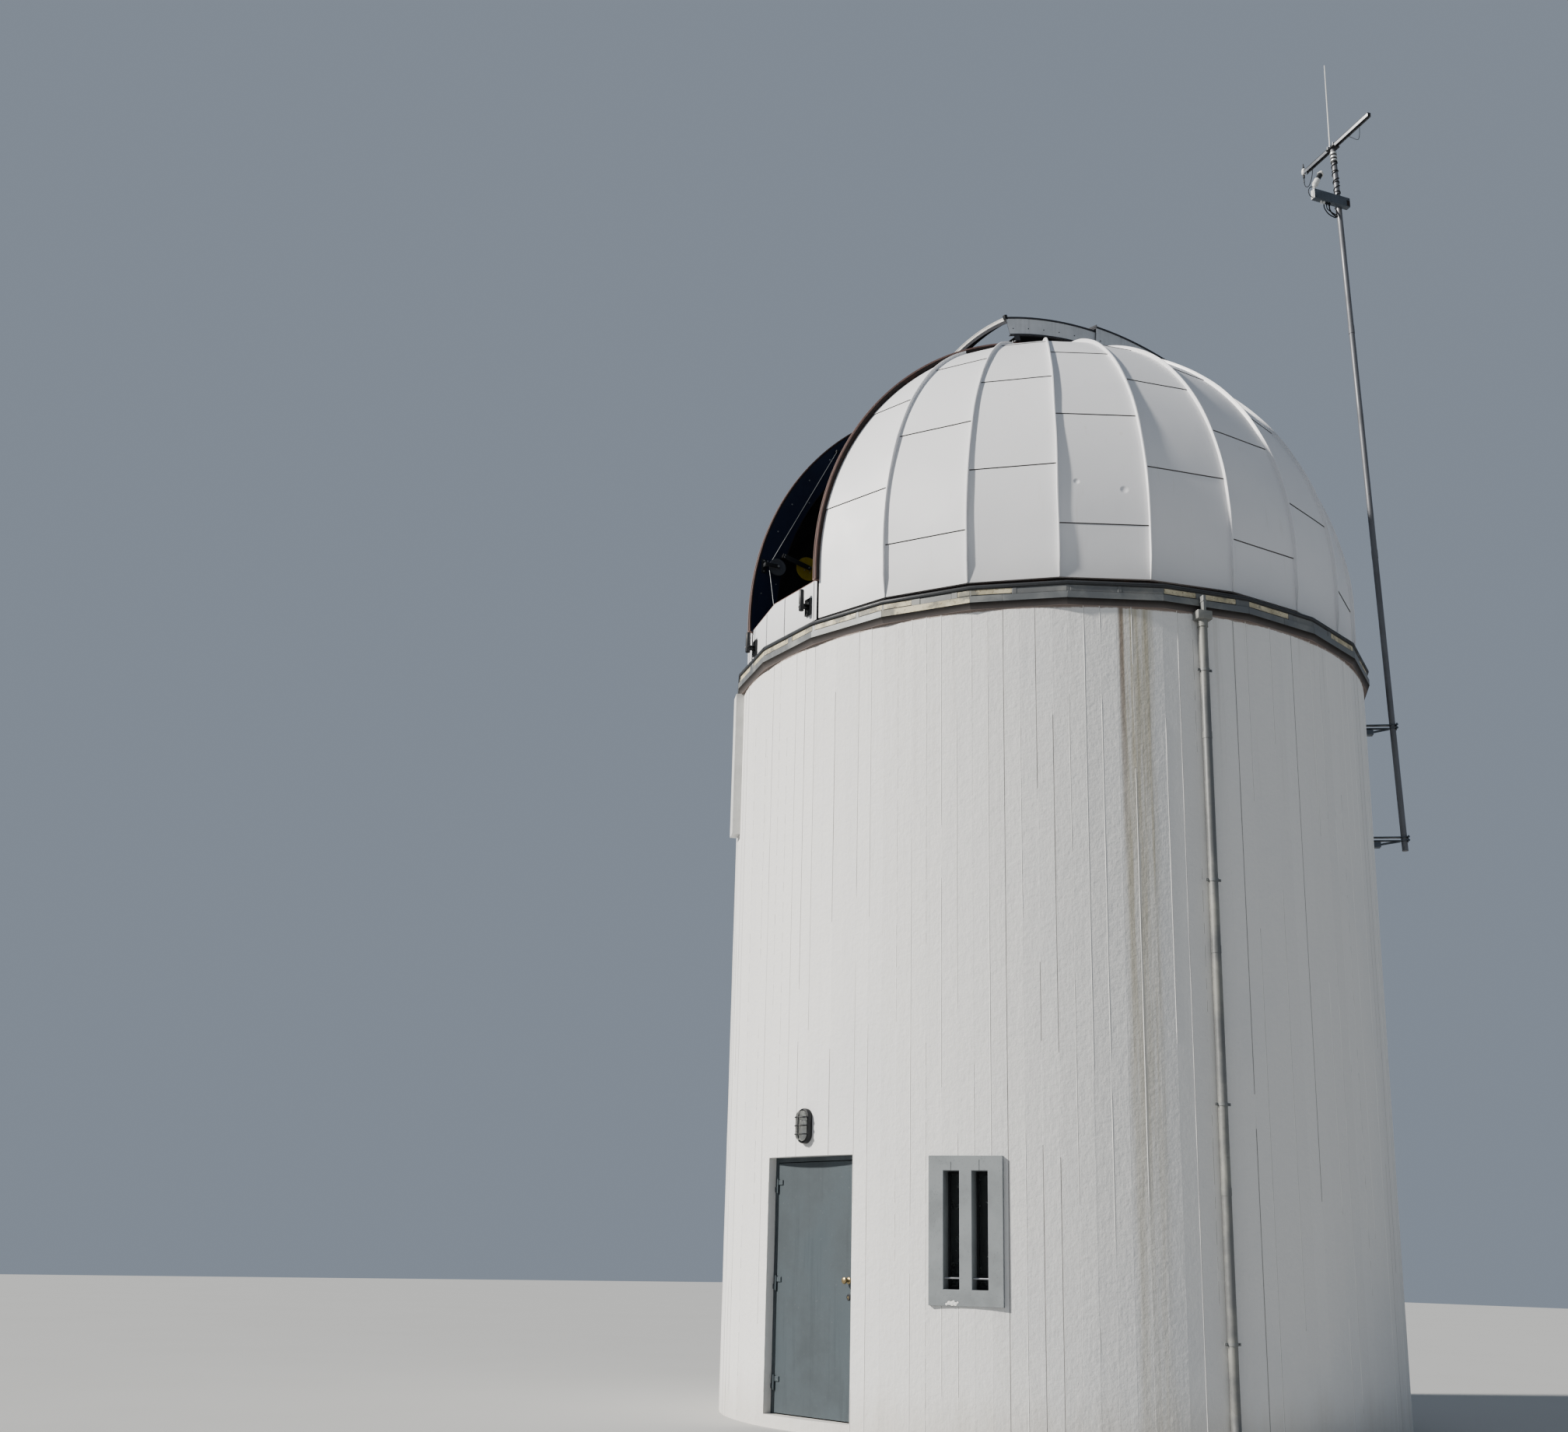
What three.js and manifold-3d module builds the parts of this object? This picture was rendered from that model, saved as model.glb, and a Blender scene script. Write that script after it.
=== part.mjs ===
// A small round observatory: a board-marked concrete tower with a sheet-metal eaves ring, and a ribbed
// steel dome that turns on rollers, with two telescoping shutter leaves over its slit.
// Millimetres, +Z up. The origin is on the tower's axis at ground level, and the door faces -Y.
// Azimuths are in degrees from -Y towards +X. Elevations in the slit run from the front (0) over the
// top (90).
import * as THREE from "three";
import { mergeVertices } from "three/addons/utils/BufferGeometryUtils.js";
import Module from "manifold-3d";

const wasm = await Module();
wasm.setup();

// Driving dimensions
const GAP = 0.3; // between pieces that touch

const WALL_R = 3086; // outer radius of the tower
const WALL_THICK = 250;
const WALL_TOP = 6870;
const FLOOR_TOP = 100;
const WALL_SEGMENTS = 8; // besides the pier between door and window
const BOARD_ANGLE = 2.5; // one facet of the board-marked wall

const DOOR_W = 1062;
const DOOR_H = 2085;
const LEAF_FACE_R = 2960; // distance of the leaf's outer face from the tower's axis
const LEAF_THICK = 50;
const FRAME_FACE = 38; // width of the door frame's face
const LEAF_CLEAR = 6; // between the leaf and its frame

const WINDOW_AZ = 28.7;
const PLATE_W = 600;
const PLATE_H = 1140;
const PLATE_Z = 1026; // lower edge
const PLATE_PROUD = 14; // at the middle of the plate
const SLOT_W = 130;
const SLOT_H = 900;
const SLOT_Z = 1150;
const SLOT_PITCH = 230;

const EAVES_R = 3145; // outer corner radius of the bead and the lower band
const EAVES_LOW = 6722; // lower edge of the soffit
const GORES = 24;

const DOME_R = 3014; // at the ribs
const SHEET = 30; // shell with its inner lining
const DOME_Z = 7015; // lower edge of the shell
const CENTRE_Z = 7515; // centre of the hemisphere
const SLIT_AZ = -16; // where the slit looks at rest
const RIB_W = 36;
const RIB_H = 34;
const GIRDER_X = 780; // outer face of a slit girder, from the slit's middle plane
const GIRDER_T = 35;
const GIRDER_OUT = 2960; // radii in the plane of the girder
const GIRDER_IN = 2675;
const GIRDER_LEG = 2895; // outer face of their legs beside the apron
const GIRDER_END = 150; // elevation where the girders end behind
const GIRDER_STEP = 2.5; // one facet of a girder
const APRON_TOP = 7410;
const SLIT_END = 98; // elevation where the slit ends behind the zenith

// Shutter leaves: outer radius of the sheet, half width, elevations of the ends and of the wheels at rest,
// middle of the wheels across the slit, and how far the front lip stands inside and outside the sheet
const FRONT_LEAF = {
  radius: 3318,
  half: 830,
  ends: [73.5, 128],
  wheels: [75, 127],
  wheelX: 754,
  lip: [60, 6],
  open: [76.1, 82], // elevations of the opening in the sheet behind the lip
};
const REAR_LEAF = {
  radius: 3363,
  half: 850,
  ends: [93, 147],
  wheels: [95, 145],
  wheelX: 772,
  lip: [18, 25],
};
const LEAF_SHEET = 10;
const SKIRT_IN = 3022; // inner edge of the skirts, in the plane of the skirt
const WHEEL_R = 20;

const MAST_AZ = 132;
const MAST_FOOT_R = 3440; // distances from the tower's axis: the mast leans towards the dome
const MAST_TIP_R = 3207;
const MAST_POLE_R = 29;
const MAST_Z = [5300, 13140];

const DOWNPIPE_AZ = 66.4;
const TRUNKING_AZ = -31.5;

const rad = THREE.MathUtils.degToRad;

// Materials
const paint = (color, roughness = 0.6, metalness = 0) =>
  new THREE.MeshStandardMaterial({ color, roughness, metalness });
const concrete = paint(0xd9d8d3, 0.85);
const plateGrey = paint(0x8d8f8c, 0.85);
const slabGrey = paint(0x9a9894, 0.9);
const zinc = paint(0x8f9496, 0.5, 0.6);
const domeWhite = paint(0xe2e2e2, 0.45);
const rustBrown = paint(0x3a2420, 0.8);
const shutterGrey = paint(0xb9bcbf, 0.5);
const doorGrey = paint(0x7f8f9a, 0.5);
const steel = paint(0x8a8c8e, 0.4, 0.9);
const darkGrey = paint(0x35373a, 0.6);
const brass = paint(0xb59a5a, 0.35, 0.9);
const glass = paint(0x9fb0b8, 0.1);
const whitePlastic = paint(0xe8e8e6, 0.5);
const yellow = paint(0xb8981e, 0.5);

// Solids
function solid(geometry) {
  const g = geometry.index ? geometry.toNonIndexed() : geometry.clone();
  g.deleteAttribute("normal");
  g.deleteAttribute("uv");
  const merged = mergeVertices(g, 1e-3);
  const kept = [];
  const index = merged.index.array;
  for (let i = 0; i < index.length; i += 3) {
    const [a, b, c] = [index[i], index[i + 1], index[i + 2]];
    if (a !== b && b !== c && c !== a) kept.push(a, b, c);
  }
  return new wasm.Manifold(
    new wasm.Mesh({
      numProp: 3,
      vertProperties: merged.attributes.position.array,
      triVerts: new Uint32Array(kept),
    }),
  );
}

function geometryOf(manifold) {
  const m = manifold.getMesh();
  const n = m.numProp;
  const position = new Float32Array(m.numVert * 3);
  for (let i = 0; i < m.numVert; i++)
    position.set(m.vertProperties.subarray(i * n, i * n + 3), i * 3);
  const g = new THREE.BufferGeometry();
  g.setAttribute("position", new THREE.BufferAttribute(position, 3));
  g.setIndex(new THREE.BufferAttribute(new Uint32Array(m.triVerts), 1));
  g.computeVertexNormals();
  return g;
}

const join = (...parts) => parts.reduce((a, b) => a.add(b));

// A box from its lowest and highest corners.
function box(low, high) {
  const size = high.map((h, i) => h - low[i]);
  const g = new THREE.BoxGeometry(...size);
  g.translate(...low.map((l, i) => l + size[i] / 2));
  return solid(g);
}

// A cylinder or prism between two points.
function rod(from, to, radius, sides = 12, radiusTo = radius) {
  const a = new THREE.Vector3(...from);
  const b = new THREE.Vector3(...to);
  const along = b.clone().sub(a);
  const g = new THREE.CylinderGeometry(radiusTo, radius, along.length(), sides);
  const turn = new THREE.Quaternion().setFromUnitVectors(
    new THREE.Vector3(0, 1, 0),
    along.clone().normalize(),
  );
  g.applyQuaternion(turn);
  g.translate(...a.add(b).multiplyScalar(0.5).toArray());
  return solid(g);
}

// An outline in X and Y, extruded from one height to another.
function prism(points, low, high) {
  const shape = new THREE.Shape(points.map(([x, y]) => new THREE.Vector2(x, y)));
  const g = new THREE.ExtrudeGeometry(shape, {
    depth: high - low,
    bevelEnabled: false,
  });
  g.translate(0, 0, low);
  return solid(g);
}

const polar = (radius, azimuth) => [
  radius * Math.sin(rad(azimuth)),
  -radius * Math.cos(rad(azimuth)),
];

function arcPoints(radius, from, to, step) {
  const count = Math.max(1, Math.round((to - from) / step));
  return Array.from({ length: count + 1 }, (_, i) =>
    polar(radius, from + ((to - from) * i) / count),
  );
}

const polygon = (radius, sides) => arcPoints(radius, 0, 360, 360 / sides).slice(0, -1);

// A ring with the given number of corners inside and outside.
function ring(inner, outer, low, high, sides) {
  const vectors = (radius) => polygon(radius, sides).map(([x, y]) => new THREE.Vector2(x, y));
  const shape = new THREE.Shape(vectors(outer));
  shape.holes.push(new THREE.Path(vectors(inner)));
  const g = new THREE.ExtrudeGeometry(shape, {
    depth: high - low,
    bevelEnabled: false,
  });
  g.translate(0, 0, low);
  return solid(g);
}

// A closed profile of radii and heights, turned round the Z axis with a corner every 360/sides degrees.
function revolve(profile, sides) {
  const points = profile.map(([r, z]) => new THREE.Vector2(r, z));
  if (profile[0][0] > 0) points.push(points[0].clone());
  const g = new THREE.LatheGeometry(points, sides);
  g.rotateX(Math.PI / 2);
  const made = solid(g);
  if (made.volume() < 0) throw new Error("a profile runs the wrong way round");
  return made;
}

// The space between two azimuths less than 180 degrees apart, its two planes moved inwards by the given
// amounts.
function wedge(from, to, low, high, inFrom = 0, inTo = 0, reach = 5000) {
  const [a, b] = [rad(from), rad(to)];
  const n0 = [Math.cos(a), Math.sin(a)];
  const n1 = [-Math.cos(b), -Math.sin(b)];
  const det = n0[0] * n1[1] - n0[1] * n1[0];
  const apex = [
    (inFrom * n1[1] - inTo * n0[1]) / det,
    (n0[0] * inTo - n1[0] * inFrom) / det,
  ];
  const count = Math.ceil((to - from) / 30);
  const rim = Array.from({ length: count + 1 }, (_, i) => {
    const [x, y] = polar(reach, from + ((to - from) * i) / count);
    return [apex[0] + x, apex[1] + y];
  });
  return prism([apex, ...rim], low, high);
}

const turned = (manifold, azimuth) => manifold.rotate([0, 0, azimuth]);

// Above everything that is cut with it
const TOP_Z = CENTRE_Z + DOME_R + 200;

const tower = new THREE.Group();
const dome = new THREE.Group();
dome.rotation.z = rad(SLIT_AZ);

function node(group, name, manifold, material) {
  const mesh = new THREE.Mesh(geometryOf(manifold), material.clone());
  mesh.name = name;
  group.add(mesh);
}

// Tower wall, floor and roller ring
const WALL_IN = WALL_R - WALL_THICK;
const WALL_SIDES = 360 / BOARD_ANGLE;
const WALL_FACE = -(WALL_R + GAP); // where a piece sits on the wall, seen from its own azimuth
const DOOR_TOP = FLOOR_TOP + DOOR_H;
const wallRing = ring(WALL_IN, WALL_R, 0, WALL_TOP, WALL_SIDES);
const wallCore = prism(polygon(WALL_R + GAP, WALL_SIDES), 0, TOP_Z);

function column(halfWidth, low, high, azimuth) {
  return turned(box([-halfWidth, -4000, low], [halfWidth, -2000, high]), azimuth);
}

function addWall() {
  const doorCut = column(DOOR_W / 2, -10, WALL_TOP + 10, 0);
  const windowCut = column(PLATE_W / 2, -10, WALL_TOP + 10, WINDOW_AZ);
  const inDoor = DOOR_W / 2 - GAP;
  const inWindow = PLATE_W / 2 - GAP;
  const sill = wallRing.intersect(column(inDoor, 0, FLOOR_TOP, 0));
  const lintel = wallRing.intersect(column(inDoor, DOOR_TOP, WALL_TOP, 0));
  node(tower, "wall_under_door", sill, concrete);
  node(tower, "wall_over_door", lintel, concrete);
  const plateTop = PLATE_Z + PLATE_H;
  const below = wallRing.intersect(column(inWindow, 0, PLATE_Z - GAP, WINDOW_AZ));
  const above = wallRing.intersect(column(inWindow, plateTop + GAP, WALL_TOP, WINDOW_AZ));
  node(tower, "wall_under_window", below, concrete);
  node(tower, "wall_over_window", above, concrete);
  const pier = wallRing
    .intersect(wedge(0, WINDOW_AZ, 0, WALL_TOP))
    .subtract(doorCut)
    .subtract(windowCut);
  node(tower, "wall_pier", pier, concrete);
  const step = (360 - WINDOW_AZ) / WALL_SEGMENTS;
  for (let i = 0; i < WALL_SEGMENTS; i++) {
    const from = WINDOW_AZ + i * step;
    const part = wallRing
      .intersect(wedge(from, from + step, 0, WALL_TOP, GAP / 2, GAP / 2))
      .subtract(doorCut)
      .subtract(windowCut);
    node(tower, `wall_${i + 1}`, part, concrete);
  }
}

function addFloor() {
  const outline = polygon(WALL_IN - GAP, WALL_SIDES / 2);
  node(tower, "floor_slab", prism(outline, 0, FLOOR_TOP), slabGrey);
}

// The rollers stand on a flat ring on the wall top, and carry the dome's base ring.
const ROLLERS = 8;
const ROLLER_R = 55;
const ROLLER_W = 40;
const ROLLER_PATH = 2915;
const RAIL = [2860, 3030]; // inner and outer radius of the flat ring
const RAIL_TOP = WALL_TOP + 15;
const BASE_RING_Z = 7000;

function addRollerRing() {
  const centreZ = BASE_RING_Z - GAP - ROLLER_R;
  const radial = (half, radius, sides) =>
    rod([0, -ROLLER_PATH - half, centreZ], [0, -ROLLER_PATH + half, centreZ], radius, sides);
  const post = (y) => box([-30, y - 6, RAIL_TOP - 2], [30, y + 6, centreZ + 25]);
  const postOff = ROLLER_W / 2 + 12;
  const unit = join(
    radial(ROLLER_W / 2, ROLLER_R, 12),
    radial(postOff + 8, 12, 6),
    post(-ROLLER_PATH - postOff),
    post(-ROLLER_PATH + postOff),
  );
  let made = ring(...RAIL, WALL_TOP + GAP, RAIL_TOP, GORES);
  for (let i = 0; i < ROLLERS; i++) made = made.add(turned(unit, (360 / ROLLERS) * (i + 0.5)));
  node(tower, "roller_ring", made, steel);
}

// Door
const FRAME_DEPTH = 90;
const FRAME_STOP = 16; // what the leaf closes against
const DOOR_IN = DOOR_W / 2 - GAP;
const LEAF_W = DOOR_W - 2 * (GAP + FRAME_FACE + LEAF_CLEAR);
const LEAF_LOW = FLOOR_TOP + 10;
const LEAF_HIGH = DOOR_TOP - FRAME_FACE - LEAF_CLEAR;
const HINGE_X = -LEAF_W / 2 - LEAF_CLEAR / 2;
const HINGE_R = 9;
const HINGE_HALF = 60; // height of one knuckle: the leaf's stands on the frame's
const HINGE_Z = [350, 1150, 1950];
const KNOB_X = LEAF_W / 2 - 70;
const KNOB_Z = 1190;

function addDoor() {
  const frameOut = -LEAF_FACE_R;
  const frameIn = frameOut + FRAME_DEPTH;
  const opening = DOOR_IN - FRAME_FACE;
  const outer = box([-DOOR_IN, frameOut, FLOOR_TOP + GAP], [DOOR_IN, frameIn, DOOR_TOP - GAP]);
  const inner = box([-opening, frameOut - 1, 0], [opening, frameIn + 1, DOOR_TOP - FRAME_FACE]);
  const stopOuter = box(
    [-DOOR_IN + 1, frameOut + LEAF_THICK + LEAF_CLEAR, FLOOR_TOP + GAP],
    [DOOR_IN - 1, frameIn, DOOR_TOP - FRAME_FACE + 5],
  );
  const stopInner = box(
    [-opening + FRAME_STOP, frameOut, 0],
    [opening - FRAME_STOP, frameIn + 1, DOOR_TOP - FRAME_FACE - FRAME_STOP],
  );
  const hingeY = frameOut - HINGE_R - 1;
  const knuckle = (low, high) => rod([HINGE_X, hingeY, low], [HINGE_X, hingeY, high], HINGE_R, 10);
  const strap = (x0, x1, low, high) => box([x0, hingeY + 1, low], [x1, frameOut + 1, high]);
  let frame = outer.subtract(inner).add(stopOuter.subtract(stopInner));
  let leaf = box(
    [-LEAF_W / 2, frameOut, LEAF_LOW],
    [LEAF_W / 2, frameOut + LEAF_THICK, LEAF_HIGH],
  );
  for (const z of HINGE_Z) {
    const onFrame = strap(-DOOR_IN + 2, HINGE_X, z - HINGE_HALF + 10, z - 10);
    const onLeaf = strap(HINGE_X, HINGE_X + 60, z + 10, z + HINGE_HALF - 10);
    frame = join(frame, knuckle(z - HINGE_HALF, z - GAP), onFrame);
    leaf = join(leaf, knuckle(z, z + HINGE_HALF), onLeaf);
  }
  node(tower, "door_frame", frame, doorGrey);
  node(tower, "door_leaf", leaf, doorGrey);
  const face = frameOut - GAP;
  const turnedPart = (near, far, radius, sides, radiusTo) =>
    rod([KNOB_X, face - near, KNOB_Z], [KNOB_X, face - far, KNOB_Z], radius, sides, radiusTo);
  const knob = join(
    turnedPart(0, 8, 28, 16),
    turnedPart(7, 40, 10, 12),
    turnedPart(35, 62, 26, 16, 20),
  );
  node(tower, "door_knob", knob, brass);
}

// Window plate and its glass
const PLATE_DEPTH = 240;
const PANE_LAP = 25; // how far the glass reaches beyond the slots
const PANE_THICK = 8;

function addWindow() {
  const half = PLATE_W / 2 - 2 * GAP;
  const faceY = -(WALL_R + PLATE_PROUD);
  const backY = faceY + PLATE_DEPTH;
  let plate = box([-half, faceY, PLATE_Z], [half, backY, PLATE_Z + PLATE_H]);
  for (const side of [-1, 1]) {
    const middle = (side * SLOT_PITCH) / 2;
    const slot = box(
      [middle - SLOT_W / 2, faceY - 10, SLOT_Z],
      [middle + SLOT_W / 2, backY + 10, SLOT_Z + SLOT_H],
    );
    plate = plate.subtract(slot);
  }
  node(tower, "window_plate", turned(plate, WINDOW_AZ), plateGrey);
  const paneHalf = (SLOT_PITCH + SLOT_W) / 2 + PANE_LAP;
  const pane = box(
    [-paneHalf, backY + GAP, SLOT_Z - PANE_LAP],
    [paneHalf, backY + GAP + PANE_THICK, SLOT_Z + SLOT_H + PANE_LAP],
  );
  node(tower, "window_glass", turned(pane, WINDOW_AZ), glass);
}

// Bulkhead lamp over the door: an oval housing with three guard bars, and a glass bowl
const LAMP_Z = 2430;
const LAMP_HALF = [75, 145]; // half width and half height
const LAMP_DEPTH = 45;
const BOWL_HALF = [58, 126];
const BOWL_OUT = 85; // from the wall
const GUARD_OUT = 100;
const GUARD_BAR = 10;
const GUARD_PITCH = 70;

function oval([halfWidth, halfHeight], fromY, toY) {
  const straight = halfHeight - halfWidth;
  const points = Array.from({ length: 24 }, (_, i) => {
    const a = ((i + 0.5) / 24) * 2 * Math.PI;
    const up = Math.sin(a) > 0 ? straight : -straight;
    return [halfWidth * Math.cos(a), up + halfWidth * Math.sin(a)];
  });
  return prism(points, -toY, -fromY).rotate([90, 0, 0]);
}

function addLamp() {
  const place = (m) => m.translate([0, 0, LAMP_Z]);
  const front = WALL_FACE - GUARD_OUT;
  const reach = LAMP_HALF[0] - 3;
  const guard = (z) => {
    const bar = (x0, x1, toY) => box([x0, front, z - GUARD_BAR / 2], [x1, toY, z + GUARD_BAR / 2]);
    const root = WALL_FACE - LAMP_DEPTH + 5;
    return join(
      bar(-reach, reach, front + GUARD_BAR),
      bar(-reach, -reach + GUARD_BAR, root),
      bar(reach - GUARD_BAR, reach, root),
    );
  };
  const housing = oval(LAMP_HALF, WALL_FACE - LAMP_DEPTH, WALL_FACE);
  const bars = [-GUARD_PITCH, 0, GUARD_PITCH].map(guard);
  node(tower, "lamp_housing", place(join(housing, ...bars)), darkGrey);
  const bowl = oval(BOWL_HALF, WALL_FACE - BOWL_OUT, WALL_FACE - LAMP_DEPTH - GAP);
  node(tower, "lamp_glass", place(bowl), glass);
}

// Eaves ring: sloped soffit, two bands and a bead. It is round inside and has a corner at each gore
// outside.
const EAVES_TOP = 6922;
const EAVES_IN = 2990;
const SOFFIT_R = 3116; // where the soffit's slope starts
const UPPER_BAND_R = 3128; // recessed between the bead and the lower band
const BAND_Z = [6776, 6835, 6896]; // edges of the two bands
const BEAD_R = 14;
const BEAD_Z = 6916;
const BEAD_TALL = 20; // half height

function addEaves() {
  const beadPoints = Array.from({ length: 5 }, (_, i) => {
    const a = rad(-90 + 45 * i);
    return [EAVES_R - BEAD_R + BEAD_R * Math.cos(a), BEAD_Z + BEAD_TALL * Math.sin(a)];
  });
  const profile = [
    [EAVES_IN, EAVES_LOW],
    [SOFFIT_R, EAVES_LOW],
    [EAVES_R - 2, BAND_Z[0]],
    [EAVES_R - 2, BAND_Z[1]],
    [UPPER_BAND_R, BAND_Z[1] + 3],
    [UPPER_BAND_R, BAND_Z[2]],
    ...beadPoints,
    [UPPER_BAND_R - 5, EAVES_TOP],
    [EAVES_IN, EAVES_TOP],
  ];
  node(tower, "eaves_ring", revolve(profile, GORES).subtract(wallCore), zinc);
}

// Downpipe with its outlet, clips and shoe
const PIPE_R = 38;
const PIPE_Y = WALL_FACE - PIPE_R - 8;
const PIPE_FOOT = 120;
const OUTLET_H = 80;
const SPOUT = [14, 6860]; // half width and upper end of the spout in front of the eaves ring
const CLIP_Z = [800, 2600, 4400, 6200];
const CLIP_HALF = PIPE_R + 6;

function addDownpipe() {
  const outlet = box([-70, PIPE_Y - 55, EAVES_LOW - OUTLET_H], [70, PIPE_Y + 43, EAVES_LOW - GAP]);
  const pipe = rod([0, PIPE_Y, PIPE_FOOT], [0, PIPE_Y, EAVES_LOW - OUTLET_H + 10], PIPE_R);
  const clips = CLIP_Z.map((z) =>
    box([-CLIP_HALF, PIPE_Y - CLIP_HALF, z - 15], [CLIP_HALF, WALL_FACE, z + 15]),
  );
  const ringFace = -EAVES_R * Math.cos(rad(180 / GORES)) - 1;
  const spout = box([-SPOUT[0], PIPE_Y - 50, EAVES_LOW - 20], [SPOUT[0], ringFace - GAP, SPOUT[1]]);
  const shoe = rod([0, PIPE_Y, PIPE_FOOT + 10], [0, PIPE_Y - 110, PIPE_FOOT / 2], PIPE_R);
  node(tower, "downpipe", turned(join(pipe, outlet, spout, shoe, ...clips), DOWNPIPE_AZ), zinc);
}

// Cable trunking under the eaves
const TRUNKING_W = 180;
const TRUNKING_D = 75;
const TRUNKING_LOW = 5300;

function addTrunking() {
  const half = TRUNKING_W / 2;
  const body = box(
    [-half, -WALL_R - TRUNKING_D, TRUNKING_LOW],
    [half, -WALL_R + 40, EAVES_LOW - GAP],
  );
  const made = turned(body, TRUNKING_AZ).subtract(wallCore);
  node(tower, "cable_trunking", made, whitePlastic);
}

// Mast on two wall brackets, with a cross-arm, a small sensor, a whip aerial and an instrument box
const BRACKET_Z = [5420, 6560];
const ARM_TURN = 28.2; // from the wall's tangent
const CROSS_ARM_X = [-600, 476];
const ARM_W = 44;
const ARM_H = 45;
const AERIAL_X = 45;
const AERIAL_TOP = 1100;
const SENSOR_X = CROSS_ARM_X[1] + 26;
const BOX_Z = 12438;
const BOX_TURN = -61;
const BOX_X = [-389, 74];
const BOX_D = 64;
const BOX_H = 110;
const TUBE_X = -366;
const TUBE_Z = 90; // top of its stub, above the middle of the box
const TUBE_LEAN = [0.48, 0.877]; // along the box and up, for each unit of its length

const mastY = (z) => {
  const part = (z - MAST_Z[0]) / (MAST_Z[1] - MAST_Z[0]);
  return -(MAST_FOOT_R + (MAST_TIP_R - MAST_FOOT_R) * part);
};
const poleBetween = (low, high, radius) =>
  rod([0, mastY(low), low], [0, mastY(high), high], radius, 16);
const onMast = (m) => turned(m, MAST_AZ);

function bracket(z) {
  const y = mastY(z);
  const foot = box([-60, WALL_FACE - 10, z - 90], [60, WALL_FACE, z + 70]);
  const arm = box([-25, y - 45, z - 4], [25, WALL_FACE - 5, z + 4]);
  const web = box([-4, y, z - 50], [4, WALL_FACE - 5, z]);
  const clamp = box([-50, y - 48, z - 30], [50, y + 48, z + 30]);
  const hole = poleBetween(z - 200, z + 200, MAST_POLE_R + GAP);
  return join(foot, arm, web, clamp).subtract(hole);
}

function addMast() {
  node(tower, "mast_pole", onMast(poleBetween(...MAST_Z, MAST_POLE_R)), steel);
  node(tower, "mast_bracket_low", onMast(bracket(BRACKET_Z[0])), steel);
  node(tower, "mast_bracket_high", onMast(bracket(BRACKET_Z[1])), steel);

  // The pole leans, so the high side of its end stands a little above its middle.
  const armZ = MAST_Z[1] + MAST_POLE_R * 0.04 + GAP;
  const onArm = (m) => onMast(m.rotate([0, 0, ARM_TURN]).translate([0, -MAST_TIP_R, armZ]));
  const arm = join(
    box([CROSS_ARM_X[0], -ARM_W / 2, 0], [CROSS_ARM_X[1], ARM_W / 2, ARM_H]),
    box([-60, -45, 0], [60, 45, 12]),
  );
  node(tower, "mast_cross_arm", onArm(arm), steel);
  const aerial = rod([AERIAL_X, 0, ARM_H + GAP], [AERIAL_X, 0, AERIAL_TOP], 8, 8);
  node(tower, "mast_aerial", onArm(aerial), whitePlastic);
  const sensorPart = (low, high, radius, sides, radiusTo) =>
    rod([SENSOR_X, 0, low], [SENSOR_X, 0, high], radius, sides, radiusTo);
  const sensor = join(
    sensorPart(-90, 150, 6, 8),
    sensorPart(10, 70, 25, 12),
    sensorPart(70, 115, 25, 12, 10),
    box([CROSS_ARM_X[1] + GAP, -8, 15], [SENSOR_X, 8, 35]),
  );
  node(tower, "mast_sensor", onArm(sensor), whitePlastic);
}

function addInstruments() {
  const boxY = mastY(BOX_Z);
  const onBox = (m) => onMast(m.rotate([0, 0, BOX_TURN]).translate([0, boxY, BOX_Z]));
  const back = -MAST_POLE_R - 4;
  const tubeY = back - BOX_D / 2;
  const hole = poleBetween(BOX_Z - 200, BOX_Z + 200, MAST_POLE_R + GAP)
    .translate([0, -boxY, -BOX_Z])
    .rotate([0, 0, -BOX_TURN]);
  const instrument = join(
    box([BOX_X[0], back - BOX_D, -BOX_H / 2], [BOX_X[1], back, BOX_H / 2]),
    box([-60, back - 1, -30], [60, 48, 30]),
    rod([TUBE_X, tubeY, BOX_H / 2 - 5], [TUBE_X, tubeY, TUBE_Z], 20),
  ).subtract(hole);
  node(tower, "mast_instrument_box", onBox(instrument), darkGrey);
  const tubeFoot = [TUBE_X, tubeY, TUBE_Z + GAP];
  const along = (d) => [tubeFoot[0] + d * TUBE_LEAN[0], tubeY, tubeFoot[2] + 12 + d * TUBE_LEAN[1]];
  const tube = join(
    rod(tubeFoot, along(40), 24),
    rod(along(0), along(110), 33),
    rod(along(100), along(190), 27),
    rod(along(185), along(230), 35, 12, 22),
  ).subtract(box([-500, -500, -500], [500, 500, TUBE_Z + GAP]));
  node(tower, "mast_instrument_tube", onBox(tube), whitePlastic);
}

addWall();
addFloor();
addRollerRing();
addDoor();
addWindow();
addLamp();
addEaves();
addDownpipe();
addTrunking();
addMast();
addInstruments();

// Dome. Everything below is in the dome's own frame, in which the slit looks along -Y.

// The shell's half profile from the base up to the zenith, at the ribs, moved outwards by the given amount.
const DOME_STEPS = 12;

function domeProfile(grow, low) {
  const r = DOME_R + grow;
  const arc = Array.from({ length: DOME_STEPS + 1 }, (_, i) => {
    const e = (Math.PI / 2) * (i / DOME_STEPS);
    return [r * Math.cos(e), CENTRE_Z + r * Math.sin(e)];
  });
  arc[DOME_STEPS][0] = 0;
  return [[r, low], ...arc];
}

function domeSkin(inside, outside, low) {
  return revolve([...domeProfile(inside, low).reverse(), ...domeProfile(outside, low)], GORES);
}

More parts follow.
